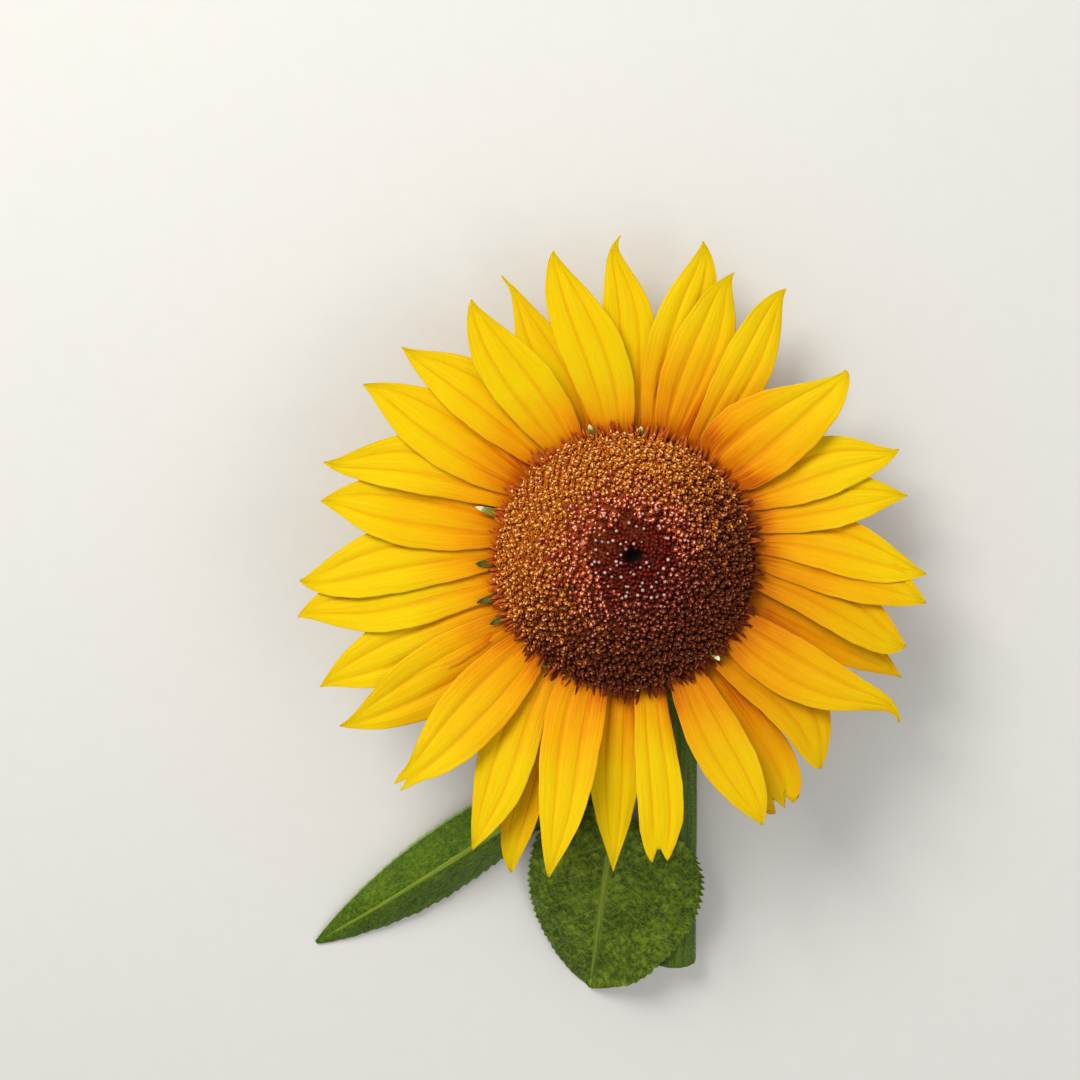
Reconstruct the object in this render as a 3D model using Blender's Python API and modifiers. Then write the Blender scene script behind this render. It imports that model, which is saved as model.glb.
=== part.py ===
"""A cut sunflower: one large bloom on a short length of stem with its two upper leaves, lying face up.

The head nods at right angles to its stem, so the flower lies with its stem along the ground, its neck bent up
under the bloom, and the bloom leaning back on the bracts of its far edge.

Two frames are used. The ground frame has +Z up, with the ground at Z = 0 and the stem running towards -Y.
The head frame is centred where the florets meet the receptacle, with +Z along the way the bloom faces.
Lengths are in metres and angles in degrees.
"""

import math

import bmesh
import bpy
from mathutils import Matrix, Vector

# How far the bloom leans back from facing straight up.
HEAD_LEAN = 12.0

# Clearance between neighbouring pieces.
GAP = 0.0003

# Stem: laid along the ground, thinner towards the neck.
STEM_CUT_RADIUS = 0.0115
STEM_TOP_RADIUS = 0.0100
STEM_LENGTH = 0.200
STEM_RING_STEP = 0.0125
STEM_SIDES = 16

# Neck: the bend between stem and head. It leaves the head straight, then turns towards the side by NECK_YAW.
NECK_BEND_RADIUS = 0.020
NECK_HEAD_RADIUS = 0.0150
NECK_STRAIGHT = 0.003
NECK_YAW = 24.5
NECK_RINGS = 9
NECK_LEVEL_END = 0.002
# The stem swings back from the neck's heading to run along -Y over this length.
SWING_LENGTH = 0.078

# Receptacle: the green back of the head.
RECEPTACLE_RADIUS = 0.0620
RECEPTACLE_DEPTH = 0.0200

# Disc: the domed bed of small florets, with a dimple at its centre and a spiky rim.
DISC_FOOT_RADIUS = 0.0555
DISC_RIM_RADIUS = 0.0600
DISC_RIM_HEIGHT = 0.0120
DISC_CROWN_RADIUS = 0.0380
DISC_CROWN_HEIGHT = 0.0170
DISC_DIMPLE = 0.0035
RIM_FLORETS = 55
RIM_FLORET_RADIUS = 0.0024
RIM_FLORET_LENGTH = 0.0095
RIM_FLORET_RISE = 28.0
RIM_SPIKE_REACH = 0.0645

# Bracts: two rings of pointed green scales round the receptacle.
BRACT_THICKNESS = 0.0011
BRACT_RINGS = {
    # name: (count, first azimuth, root height, rise at root, rise at tip, length, width)
    "inner": (13, 7.0, -0.0065, -8.0, -26.0, 0.036, 0.0165),
    "outer": (13, 20.8, -0.0110, -30.0, -44.0, 0.039, 0.0175),
}
BRACT_ROOT_SINK = 0.004

# Rays: the yellow petals. Each stands on a short foot at the receptacle's edge.
RAY_THICKNESS = 0.0012
RAY_ROWS = 10
RAY_COLUMNS = 4
RAY_TIP_WIDTH = 0.0016
RAY_CUP = 0.05
RAY_SHINGLE_ROLL = 14.0
# How strongly a ray's root is pulled to the middle between its neighbours, so that close pairs fan out.
ROOT_EVENING = 0.5
# Each ray lies over both neighbours, under both, or shingled under one of them:
# lie: (foot radius, blade height, rise at root, rise at tip)
RAY_LIES = {
    "over": (0.0570, 0.0054, 22.0, 2.0),
    "shingled": (0.0583, 0.0034, 15.0, 0.0),
    "under": (0.0596, 0.0014, 8.0, -5.0),
}
# Azimuth of the tip (counter-clockwise from +X), reach of the tip, full width, and lie.
# "left" is shingled under its counter-clockwise neighbour, "right" under its clockwise one.
RAYS = [
    (13, 0.134, 0.023, "left"),
    (22, 0.137, 0.026, "left"),
    (40, 0.135, 0.034, "left"),
    (60, 0.144, 0.029, "over"),
    (70, 0.142, 0.024, "right"),
    (77, 0.153, 0.027, "right"),
    (92, 0.152, 0.022, "under"),
    (104, 0.147, 0.029, "over"),
    (114, 0.148, 0.024, "under"),
    (122, 0.141, 0.028, "over"),
    (137, 0.145, 0.029, "right"),
    (147, 0.149, 0.030, "right"),
    (162, 0.149, 0.027, "right"),
    (170, 0.148, 0.030, "right"),
    (184, 0.158, 0.028, "right"),
    (190, 0.161, 0.030, "right"),
    (203, 0.159, 0.031, "right"),
    (210, 0.160, 0.031, "under"),
    (224, 0.153, 0.033, "left"),
    (242, 0.155, 0.029, "over"),
    (249, 0.159, 0.020, "under"),
    (256, 0.154, 0.026, "left"),
    (267, 0.148, 0.023, "left"),
    (277, 0.144, 0.024, "left"),
    (296, 0.139, 0.028, "over"),
    (303, 0.142, 0.028, "under"),
    (313, 0.133, 0.032, "left"),
    (328, 0.143, 0.029, "over"),
    (337, 0.137, 0.020, "under"),
    (343, 0.134, 0.027, "left"),
    (352, 0.140, 0.024, "left"),
    (357, 0.139, 0.025, "left"),
]

# Leaves: toothed blades folded along their midribs, on petioles that leave the stem's side.
LEAF_THICKNESS = 0.0016
LEAF_ROWS = 18
LEAF_COLUMNS = 8
LEAF_TOOTH = 0.06
LEAF_LOWEST = 0.0014
PETIOLE_RADIUS = 0.0030
VEIN_TIP_RADIUS = 0.0008
# A blade that crosses the stem lies over it, level for this many stem radii to each side, then slopes down.
DRAPE_LEVEL = 1.7
DRAPE_SLOPE = 0.9
DRAPE_CLEARANCE = 0.0015
# How soon a leaf turns from its heading at the root to its lasting one.
LEAF_TURN = 6
LEAVES = {
    "leaf_left": {
        "from_cut": 0.121,
        "heading_at_root": 196.0,
        "heading": 216.5,
        "petiole": 0.034,
        "blade": 0.176,
        "width": 0.035,
        "skew": -0.08,
        "base": 0.70,
        "lobe": 0.02,
        "crest": 0.025,
        "fall": 0.95,
    },
    "leaf_front": {
        "from_cut": 0.100,
        "heading_at_root": 196.0,
        "heading": 265.0,
        "petiole": 0.030,
        "blade": 0.098,
        "width": 0.090,
        "skew": 0.14,
        "base": 0.45,
        "lobe": 0.10,
        "crest": 0.027,
        "fall": 0.80,
    },
}

GREEN_STEM = (0.16, 0.28, 0.05)
GREEN_BRACT = (0.13, 0.25, 0.05)
GREEN_LEAF = (0.07, 0.20, 0.03)
YELLOW_RAY = (0.95, 0.62, 0.02)
BROWN_DISC = (0.16, 0.05, 0.015)


def clear_scene():
    for thing in list(bpy.data.objects):
        bpy.data.objects.remove(thing)


def finish(name, colour, roughness):
    """A Principled material with that base colour and roughness, and no metal."""
    made = bpy.data.materials.new(name)
    made.use_nodes = True
    shader = made.node_tree.nodes["Principled BSDF"]
    shader.inputs["Base Color"].default_value = (*colour, 1.0)
    shader.inputs["Roughness"].default_value = roughness
    shader.inputs["Metallic"].default_value = 0.0
    return made


def add(name, data, material, collection, parent=None):
    """An object of this data in the collection, smooth shaded, placed under parent."""
    made = bpy.data.objects.new(name, data)
    collection.objects.link(made)
    data.materials.append(material)
    made.parent = parent
    return made


def smooth(thing, angle=50.0):
    thing.data.shade_smooth()
    thing.data.set_sharp_from_angle(angle=math.radians(angle))


def sheet(name, rows, columns, place):
    """A grid of rows by columns faces, with each vertex put where place(row share, column share) says."""
    shape = bmesh.new()
    bmesh.ops.create_grid(shape, x_segments=rows, y_segments=columns, size=1.0)
    for vertex in shape.verts:
        row = round((vertex.co.x + 1) / 2 * rows)
        column = round((vertex.co.y + 1) / 2 * columns)
        vertex.co = place(row / rows, 2 * column / columns - 1)
    mesh = bpy.data.meshes.new(name)
    shape.to_mesh(mesh)
    shape.free()
    return mesh


def thicken(thing, thickness):
    """Turns an open sheet into a plate of this thickness, half on each side."""
    shell = thing.modifiers.new("thickness", "SOLIDIFY")
    shell.thickness = thickness
    shell.offset = 0.0
    return shell


def tube(name, points, radii, sides):
    """A tapering tube along the points, as a curve with a bevel and filled caps."""
    curve = bpy.data.curves.new(name, "CURVE")
    curve.dimensions = "3D"
    curve.bevel_depth = 1.0
    curve.bevel_resolution = sides // 2 - 2
    curve.use_fill_caps = True
    line = curve.splines.new("POLY")
    line.points.add(len(points) - 1)
    for knot, point, radius in zip(line.points, points, radii):
        knot.co = (*point, 1.0)
        knot.radius = radius
    return curve


def as_mesh(thing, name):
    """The thing's evaluated shape as a closed mesh in its own frame."""
    graph = bpy.context.evaluated_depsgraph_get()
    mesh = bpy.data.meshes.new_from_object(thing.evaluated_get(graph))
    mesh.name = name
    shape = bmesh.new()
    shape.from_mesh(mesh)
    bmesh.ops.remove_doubles(shape, verts=shape.verts, dist=0.00001)
    shape.to_mesh(mesh)
    shape.free()
    return mesh


def join(body, pieces):
    """Fuses the pieces' collection into body with one Boolean union, and removes them."""
    union = body.modifiers.new("union", "BOOLEAN")
    union.operation = "UNION"
    union.solver = "EXACT"
    union.operand_type = "COLLECTION"
    union.collection = pieces
    bpy.context.view_layer.update()
    fused = as_mesh(body, body.name)
    body.modifiers.clear()
    body.data = fused
    for piece in list(pieces.objects):
        bpy.data.objects.remove(piece)
    bpy.data.collections.remove(pieces)


def new_collection(name):
    made = bpy.data.collections.new(name)
    bpy.context.scene.collection.children.link(made)
    return made


def heading(degrees):
    """The level unit vector at this azimuth."""
    return Vector((math.cos(math.radians(degrees)), math.sin(math.radians(degrees)), 0.0))


def slope_curve(length, start, end, share):
    """Height gained after this share of a level run that starts at one slope and ends at another."""
    rise = math.tan(math.radians(start)) * (share - share**2 / 2)
    return length * (rise + math.tan(math.radians(end)) * share**2 / 2)


# ---------------------------------------------------------------- the line from head to cut end


def head_height():
    """Height of the head frame's origin that lays the stem on the ground."""
    lean = math.radians(HEAD_LEAN)
    bend_drop = NECK_BEND_RADIUS * (1 - math.sin(lean))
    return STEM_TOP_RADIUS + bend_drop + (NECK_STRAIGHT + RECEPTACLE_DEPTH + GAP) * math.cos(lean)


def head_matrix():
    return Matrix.Translation((0.0, 0.0, head_height())) @ Matrix.Rotation(-math.radians(HEAD_LEAN), 4, "X")


def neck_line():
    """Points of the neck's centre line, from the receptacle's back to where it lies level."""
    lean = math.radians(HEAD_LEAN)
    level = heading(-90.0 + NECK_YAW)
    down = Vector((0.0, 0.0, -1.0))
    top = head_matrix() @ Vector((0.0, 0.0, -RECEPTACLE_DEPTH - GAP))
    back = Vector((0.0, -math.sin(lean), -math.cos(lean)))
    points = [top, top + back * NECK_STRAIGHT]
    turn = (math.pi / 2 - lean) / NECK_RINGS
    for ring in range(NECK_RINGS):
        angle = lean + turn * (ring + 0.5)
        # the bend starts in the head's own plane and takes on the yaw as it turns level
        yaw = (ring + 1) / NECK_RINGS
        flat = (heading(-90.0) * (1 - yaw) + level * yaw).normalized()
        step = flat * math.sin(angle) + down * math.cos(angle)
        points.append(points[-1] + step * NECK_BEND_RADIUS * turn)
    points.append(points[-1] + level * NECK_LEVEL_END)
    return points


def stem_line():
    """Points of the stem's centre line, from the neck's end to the cut, swinging back to run along -Y."""
    start = neck_line()[-1]
    point = Vector((start.x, start.y, 0.0)) + heading(-90.0 + NECK_YAW) * GAP
    points = []
    for ring in range(round(STEM_LENGTH / STEM_RING_STEP) + 1):
        run = ring * STEM_RING_STEP
        points.append(Vector((point.x, point.y, stem_radius(run))))
        yaw = NECK_YAW * max(0.0, 1 - run / SWING_LENGTH)
        point = point + heading(-90.0 + yaw) * STEM_RING_STEP
    return points


def stem_radius(run):
    return STEM_TOP_RADIUS + (STEM_CUT_RADIUS - STEM_TOP_RADIUS) * run / STEM_LENGTH


def build_stem(collection, material):
    points = stem_line()
    radii = [stem_radius(ring * STEM_RING_STEP) for ring in range(len(points))]
    return add("stem", tube("stem", points, radii, STEM_SIDES), material, collection)


def build_neck(collection, material):
    points = neck_line()
    last = len(points) - 1
    flare = NECK_HEAD_RADIUS - STEM_TOP_RADIUS
    radii = [STEM_TOP_RADIUS + flare * (1 - ring / last) ** 2 for ring in range(last + 1)]
    return add("neck", tube("neck", points, radii, STEM_SIDES), material, collection)


# ---------------------------------------------------------------- receptacle and bracts


def turned(name, profile, steps):
    """A profile of (radius, height) points, from the axis down its outer side and back to the axis, spun round Z."""
    shape = bmesh.new()
    knots = [shape.verts.new((radius, 0.0, height)) for radius, height in profile]
    for first, second in zip(knots, knots[1:]):
        shape.edges.new((first, second))
    mesh = bpy.data.meshes.new(name)
    shape.to_mesh(mesh)
    shape.free()

    def spin(thing):
        screw = thing.modifiers.new("spin", "SCREW")
        screw.steps = steps
        screw.render_steps = steps
        screw.use_merge_vertices = True
        screw.merge_threshold = 0.00005

    return mesh, spin


def receptacle_profile():
    """Flat on top, rounded below, down to the flat that the neck meets."""
    bowl = []
    quarter = 6
    for step in range(quarter + 1):
        angle = math.pi / 2 * step / quarter
        radius = NECK_HEAD_RADIUS + (RECEPTACLE_RADIUS - NECK_HEAD_RADIUS) * math.cos(angle) ** 0.8
        bowl.append((radius, -0.004 - (RECEPTACLE_DEPTH - 0.004) * math.sin(angle)))
    return [(0.0, 0.0), (RECEPTACLE_RADIUS - 0.001, 0.0), *bowl, (0.0, -RECEPTACLE_DEPTH)]


def ground_in_head(y):
    """Height of the ground in the head frame at this head-frame Y."""
    lean = math.radians(HEAD_LEAN)
    return (y * math.sin(lean) - head_height()) / math.cos(lean)


def bract_place(azimuth, root_height, rise_root, rise_tip, length, width):
    """Where a bract's points lie in the head frame. One that would enter the ground is bent to lie on it."""
    along = heading(azimuth)
    across = heading(azimuth + 90)
    root = RECEPTACLE_RADIUS - 0.004 - BRACT_ROOT_SINK

    def place(share, side):
        run = root + length * share * math.cos(math.radians(rise_root + rise_tip) / 2)
        height = root_height + slope_curve(length * 0.9, rise_root, rise_tip, share)
        half = width / 2 * (1 - share) ** 0.7 * (0.8 + 0.75 * share) + 0.0007 * share
        cupped = 0.18 * half * side**2
        point = along * run + across * (half * side)
        floor = ground_in_head(point.y) + BRACT_THICKNESS * 0.62
        return Vector((point.x, point.y, max(height + cupped, floor)))

    return place


def build_involucre(collection, head, material):
    """The receptacle with its two rings of bracts fused on."""
    mesh, spin = turned("involucre", receptacle_profile(), 40)
    body = add("involucre", mesh, material, collection, head)
    spin(body)
    bracts = new_collection("bract pieces")
    for ring, (count, first, *form) in BRACT_RINGS.items():
        for index in range(count):
            azimuth = first + 360.0 * index / count
            mesh = sheet("bract", 5, 2, bract_place(azimuth, *form))
            bract = add(f"bract_{ring}_{index}", mesh, material, bracts, head)
            thicken(bract, BRACT_THICKNESS)
    join(body, bracts)
    smooth(body, 40.0)
    return body


# ---------------------------------------------------------------- disc


def disc_profile():
    """Down from the dimple over the crown to the rim, and in under it to the foot that stands on the receptacle."""
    crown = []
    steps = 7
    for step in range(steps + 1):
        radius = DISC_RIM_RADIUS * step / steps
        offset = (radius - DISC_CROWN_RADIUS) / DISC_CROWN_RADIUS
        inside = radius < DISC_CROWN_RADIUS
        fall = DISC_DIMPLE if inside else (DISC_CROWN_HEIGHT - DISC_RIM_HEIGHT)
        reach = offset if inside else (radius - DISC_CROWN_RADIUS) / (DISC_RIM_RADIUS - DISC_CROWN_RADIUS)
        crown.append((radius, DISC_CROWN_HEIGHT - fall * reach**2))
    under = [(DISC_RIM_RADIUS, DISC_RIM_HEIGHT - 0.0035), (DISC_FOOT_RADIUS, DISC_RIM_HEIGHT - 0.0050)]
    return [*crown, *under, (DISC_FOOT_RADIUS, GAP), (0.0, GAP)]


def build_disc(collection, head, material):
    """The floret dome with a ring of pointed rim florets fused on."""
    mesh, spin = turned("disc", disc_profile(), 55)
    body = add("disc", mesh, material, collection, head)
    spin(body)
    florets = new_collection("rim floret pieces")
    for index in range(RIM_FLORETS):
        azimuth = 360.0 * (index + 0.25) / RIM_FLORETS
        shape = bmesh.new()
        bmesh.ops.create_cone(
            shape,
            cap_ends=True,
            segments=5,
            radius1=RIM_FLORET_RADIUS,
            radius2=RIM_FLORET_RADIUS * 0.3,
            depth=RIM_FLORET_LENGTH,
        )
        mesh = bpy.data.meshes.new("rim floret")
        shape.to_mesh(mesh)
        shape.free()
        floret = add(f"rim_floret_{index}", mesh, material, florets, head)
        tip = RIM_SPIKE_REACH - RIM_FLORET_LENGTH / 2 * math.cos(math.radians(RIM_FLORET_RISE))
        height = DISC_RIM_HEIGHT + 0.0004
        floret.matrix_local = (
            Matrix.Rotation(math.radians(azimuth), 4, "Z")
            @ Matrix.Translation((tip, 0.0, height))
            @ Matrix.Rotation(math.radians(90.0 - RIM_FLORET_RISE), 4, "Y")
        )
    join(body, florets)
    smooth(body, 40.0)
    return body


# ---------------------------------------------------------------- rays


def ray_half_width(share, width):
    """Half width along a ray: narrow at the root, widest before the middle, drawn out to an acute tip."""
    peak = 0.424
    shape = share**0.7 * (1 - share) ** 0.95 / (peak**0.7 * (1 - peak) ** 0.95)
    claw = 0.0022 * (1 - share) ** 4
    return width / 2 * shape + claw + RAY_TIP_WIDTH / 2 * share**3


def root_azimuths():
    """Each ray's root, pulled towards the middle between its neighbours' tips."""
    tips = [ray[0] for ray in RAYS]
    count = len(tips)
    roots = []
    for index, tip in enumerate(tips):
        before = tips[index - 1] - (360 if index == 0 else 0)
        after = tips[(index + 1) % count] + (360 if index == count - 1 else 0)
        roots.append(tip + ROOT_EVENING * ((before + after) / 2 - tip))
    return roots


def ray_place(reach, width, lie, sweep):
    """Where a ray's points lie, in a frame turned so that its root is at azimuth 0."""
    form = lie if lie in RAY_LIES else "shingled"
    foot_radius, blade_height, rise_root, rise_tip = RAY_LIES[form]
    roll = math.radians({"left": -RAY_SHINGLE_ROLL, "right": RAY_SHINGLE_ROLL}.get(lie, 0.0))
    run = reach - foot_radius

    def place(along, side):
        row = along * RAY_ROWS
        if row < 0.5:
            claw = ray_half_width(0.0, width)
            return Vector((foot_radius - 0.0002, claw * side, GAP + RAY_THICKNESS * 0.1))
        share = ((row - 1) / (RAY_ROWS - 1)) ** 1.15
        half = ray_half_width(share, width)
        level = foot_radius + run * share
        height = blade_height + slope_curve(run, rise_root, rise_tip, share)
        height += half * (side * math.sin(roll) + RAY_CUP * side**2)
        point = Vector((level, half * side * math.cos(roll), height))
        return Matrix.Rotation(math.radians(sweep * share**1.3), 4, "Z") @ point

    return place


def build_rays(collection, head, material):
    rays = []
    for index, ((tip, reach, width, lie), root) in enumerate(zip(RAYS, root_azimuths()), start=1):
        name = f"ray_{index:02d}"
        mesh = sheet(name, RAY_ROWS, RAY_COLUMNS, ray_place(reach, width, lie, tip - root))
        ray = add(name, mesh, material, collection, head)
        ray.rotation_euler.z = math.radians(root)
        thicken(ray, RAY_THICKNESS)
        smooth(ray)
        rays.append(ray)
    return rays


# ---------------------------------------------------------------- leaves


def leaf_half_width(share, base):
    """Half width of a blade as a share of its greatest, with the teeth left out. A low base power makes it broad."""
    tip = 0.82
    peak = base / (base + tip)
    return (share / peak) ** base * ((1 - share) / (1 - peak)) ** tip


def petiole_root(form):
    """Where a leaf's petiole leaves the stem's side."""
    points = stem_line()
    run = STEM_LENGTH - form["from_cut"]
    index = min(int(run / STEM_RING_STEP), len(points) - 2)
    centre = points[index].lerp(points[index + 1], run / STEM_RING_STEP - index)
    line = (points[index + 1] - points[index]).normalized()
    out = heading(form["heading_at_root"])
    side = (out - line * out.dot(line)).normalized()
    clear = stem_radius(run) + GAP + 1.9 * PETIOLE_RADIUS * abs(out.dot(line))
    return centre + side * clear + Vector((0.0, 0.0, 0.15 * stem_radius(run)))


def leaf_line(form):
    """A function that gives the leaf's centre line and heading at a distance from the petiole's root."""
    whole = form["petiole"] + form["blade"]
    root = petiole_root(form)
    first, last = form["heading_at_root"], form["heading"]
    steps = 48
    track = [Vector((root.x, root.y, 0.0))]
    for step in range(steps):
        turned_to = last + (first - last) * (1 - (step + 0.5) / steps) ** LEAF_TURN
        track.append(track[-1] + heading(turned_to) * whole / steps)

    def at(distance):
        share = min(max(distance / whole, 0.0), 1.0)
        index = min(int(share * steps), steps - 1)
        point = track[index].lerp(track[index + 1], share * steps - index)
        rise = root.z * (1 - share) ** 3 + form["crest"] * math.sin(math.pi * share**0.8) ** 0.8
        point.z = max(rise, LEAF_LOWEST)
        return point, last + (first - last) * (1 - share) ** LEAF_TURN

    return at


def over_stem(point, stem):
    """The least height that keeps a blade clear of the stem at this place."""
    cover = 0.0
    for knot, radius in stem:
        if abs(knot.y - point.y) < 2 * STEM_RING_STEP:
            beside = max(0.0, abs(knot.x - point.x) - DRAPE_LEVEL * radius)
            top = 2 * radius + DRAPE_CLEARANCE + LEAF_THICKNESS / 2
            cover = max(cover, top - DRAPE_SLOPE * beside)
    return cover


def blade_place(form):
    """Where a blade's points lie: its sides fall from the midrib towards the ground, or lie over the stem."""
    line = leaf_line(form)
    blade = form["blade"]
    stem = [(knot, stem_radius(ring * STEM_RING_STEP)) for ring, knot in enumerate(stem_line())]

    def place(share, side):
        row = round(share * LEAF_ROWS)
        tooth = 1 - (LEAF_TOOTH * side**4 if row % 2 else 0.0)
        half = form["width"] / 2 * leaf_half_width(max(share, 0.02), form["base"]) * tooth + 0.0012 * share
        half *= 1 + form["skew"] * side
        centre, azimuth = line(form["petiole"] + blade * share)
        back = heading(azimuth) * (form["lobe"] * blade * (1 - share) ** 3 * abs(side) ** 1.5)
        point = centre + heading(azimuth + 90) * (half * side) - back
        wave = 0.10 * math.sin(share * 9.0 + side * 1.5) * side**2
        height = LEAF_LOWEST + (centre.z - LEAF_LOWEST) * (1 - form["fall"] * abs(side) ** 1.5 + wave)
        point.z = max(height, LEAF_LOWEST, over_stem(point, stem))
        return point

    return place


def build_leaf(name, form, collection, material):
    line = leaf_line(form)
    place = blade_place(form)
    petiole, blade = form["petiole"], form["blade"]
    body = add(name, sheet(name, LEAF_ROWS, LEAF_COLUMNS, place), material, collection)
    thicken(body, LEAF_THICKNESS)
    steps = 14
    points = []
    radii = []
    for step in range(steps + 1):
        share = step / steps
        distance = (petiole + blade * 0.9) * share
        radius = PETIOLE_RADIUS + (VEIN_TIP_RADIUS - PETIOLE_RADIUS) * share**0.7
        point = line(distance)[0]
        if distance > petiole:
            point = place((distance - petiole) / blade, 0.0)
        point.z = max(point.z, radius + 0.0003)
        points.append(point)
        radii.append(radius)
    veins = new_collection(name + " pieces")
    curve = add(name + "_midrib", tube(name, points, radii, 8), material, veins)
    bpy.context.view_layer.update()
    add(name + "_vein", as_mesh(curve, name), material, veins)
    bpy.data.objects.remove(curve)
    join(body, veins)
    smooth(body, 40.0)
    return body


# ---------------------------------------------------------------- the whole flower


def centre_on_ground(root, pieces):
    """Moves the root so that the flower's bounding box is centred over the origin and rests on the ground."""
    bpy.context.view_layer.update()
    graph = bpy.context.evaluated_depsgraph_get()
    low = Vector((math.inf,) * 3)
    high = Vector((-math.inf,) * 3)
    for piece in pieces:
        shape = piece.evaluated_get(graph)
        mesh = shape.to_mesh()
        for vertex in mesh.vertices:
            corner = shape.matrix_world @ vertex.co
            low = Vector(map(min, low, corner))
            high = Vector(map(max, high, corner))
        shape.to_mesh_clear()
    root.location = -Vector(((low.x + high.x) / 2, (low.y + high.y) / 2, low.z))
    bpy.context.view_layer.update()


def main():
    clear_scene()
    flower = new_collection("sunflower")
    stem_green = finish("stem green", GREEN_STEM, 0.6)
    bract_green = finish("bract green", GREEN_BRACT, 0.6)
    leaf_green = finish("leaf green", GREEN_LEAF, 0.55)
    ray_yellow = finish("ray yellow", YELLOW_RAY, 0.5)
    disc_brown = finish("disc brown", BROWN_DISC, 0.8)

    root = bpy.data.objects.new("flower", None)
    head = bpy.data.objects.new("head", None)
    for empty in (root, head):
        flower.objects.link(empty)
    head.matrix_local = head_matrix()
    bpy.context.view_layer.update()

    pieces = [build_stem(flower, stem_green), build_neck(flower, stem_green)]
    pieces.append(build_involucre(flower, head, bract_green))
    pieces.append(build_disc(flower, head, disc_brown))
    pieces += build_rays(flower, head, ray_yellow)
    for name, form in LEAVES.items():
        pieces.append(build_leaf(name, form, flower, leaf_green))

    head.parent = root
    for piece in pieces:
        if piece.parent is None:
            piece.parent = root
    centre_on_ground(root, pieces)


main()
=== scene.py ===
import math

import bmesh
import bpy
import numpy as np
from mathutils import Matrix, Vector


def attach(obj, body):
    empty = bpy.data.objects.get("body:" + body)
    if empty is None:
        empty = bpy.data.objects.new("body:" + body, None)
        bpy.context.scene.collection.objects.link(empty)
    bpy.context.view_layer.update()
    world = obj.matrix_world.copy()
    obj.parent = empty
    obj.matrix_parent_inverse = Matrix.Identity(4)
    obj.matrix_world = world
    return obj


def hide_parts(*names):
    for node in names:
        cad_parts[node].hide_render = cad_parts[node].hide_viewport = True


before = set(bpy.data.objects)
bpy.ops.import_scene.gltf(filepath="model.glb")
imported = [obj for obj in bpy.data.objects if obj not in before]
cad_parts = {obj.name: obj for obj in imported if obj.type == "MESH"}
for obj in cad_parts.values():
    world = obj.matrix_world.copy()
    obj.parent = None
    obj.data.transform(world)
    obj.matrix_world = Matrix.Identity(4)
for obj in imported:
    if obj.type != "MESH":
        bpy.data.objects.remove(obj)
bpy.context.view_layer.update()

# ---------------------------------------------------------------- stem and neck
# The cut length of green stem lies along the ground, swings a little to the side and bends up through the
# neck into the back of the head. It is one ribbed skin, grown as a tapering tube along the line that the
# head hangs from, with stiff pale hairs all over it.

HEAD_LEAN = math.radians(12.0)
HEAD_AT = Vector((0.0118825, 0.0462324, 0.0486323))
HEAD = Matrix.Translation(HEAD_AT) @ Matrix.Rotation(-HEAD_LEAN, 4, "X")
GAP = 0.0003

STEM_CUT_RADIUS = 0.0115
STEM_TOP_RADIUS = 0.0100
STEM_LENGTH = 0.200
STEM_STEP = 0.0125
STEM_SIDES = 96
SKIN_STEP = 0.0009
SKIN_INSET = 0.015
SKIN_LOWEST = 0.0001
NECK_BEND_RADIUS = 0.020
NECK_HEAD_RADIUS = 0.0150
NECK_STRAIGHT = 0.003
NECK_YAW = 24.5
NECK_RINGS = 9
NECK_LEVEL_END = 0.002
NECK_IN_HEAD = 0.004
SWING_LENGTH = 0.078
RECEPTACLE_RADIUS = 0.0620
RECEPTACLE_DEPTH = 0.0200
RIBS = 13
RIB_DEPTH = 0.035
RIB_WANDER = 0.5
LUMP_DEPTHS = (0.008, 0.006)
BARE_AT_HEAD = 0.006
BARE_AT_CUT = 0.002


def heading(degrees):
    """The level unit vector at this azimuth."""
    return Vector((math.cos(math.radians(degrees)), math.sin(math.radians(degrees)), 0.0))


def stem_radius(run):
    return STEM_TOP_RADIUS + (STEM_CUT_RADIUS - STEM_TOP_RADIUS) * run / STEM_LENGTH


def neck_line():
    """Centre points and radii from inside the receptacle to where the neck lies level."""
    level = heading(-90.0 + NECK_YAW)
    down = Vector((0.0, 0.0, -1.0))
    back = Vector((0.0, -math.sin(HEAD_LEAN), -math.cos(HEAD_LEAN)))
    top = HEAD @ Vector((0.0, 0.0, -RECEPTACLE_DEPTH - GAP))
    points = [top, top + back * NECK_STRAIGHT]
    turn = (math.pi / 2 - HEAD_LEAN) / NECK_RINGS
    for ring in range(NECK_RINGS):
        angle = HEAD_LEAN + turn * (ring + 0.5)
        yaw = (ring + 1) / NECK_RINGS
        flat = (heading(-90.0) * (1 - yaw) + level * yaw).normalized()
        step = flat * math.sin(angle) + down * math.cos(angle)
        points.append(points[-1] + step * NECK_BEND_RADIUS * turn)
    points.append(points[-1] + level * NECK_LEVEL_END)
    last = len(points) - 1
    flare = NECK_HEAD_RADIUS - STEM_TOP_RADIUS
    radii = [STEM_TOP_RADIUS + flare * (1 - ring / last) ** 2 for ring in range(last + 1)]
    return [top - back * NECK_IN_HEAD, *points], [NECK_HEAD_RADIUS, *radii]


def stem_line():
    """Centre points and radii of the stem, from the neck's end to the cut."""
    start = neck_line()[0][-1]
    point = Vector((start.x, start.y, 0.0)) + heading(-90.0 + NECK_YAW) * GAP
    points = []
    radii = []
    for ring in range(round(STEM_LENGTH / STEM_STEP) + 1):
        run = ring * STEM_STEP
        radii.append(stem_radius(run))
        points.append(Vector((point.x, point.y, radii[-1])))
        yaw = NECK_YAW * max(0.0, 1 - run / SWING_LENGTH)
        point = point + heading(-90.0 + yaw) * STEM_STEP
    return points, radii


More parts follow.
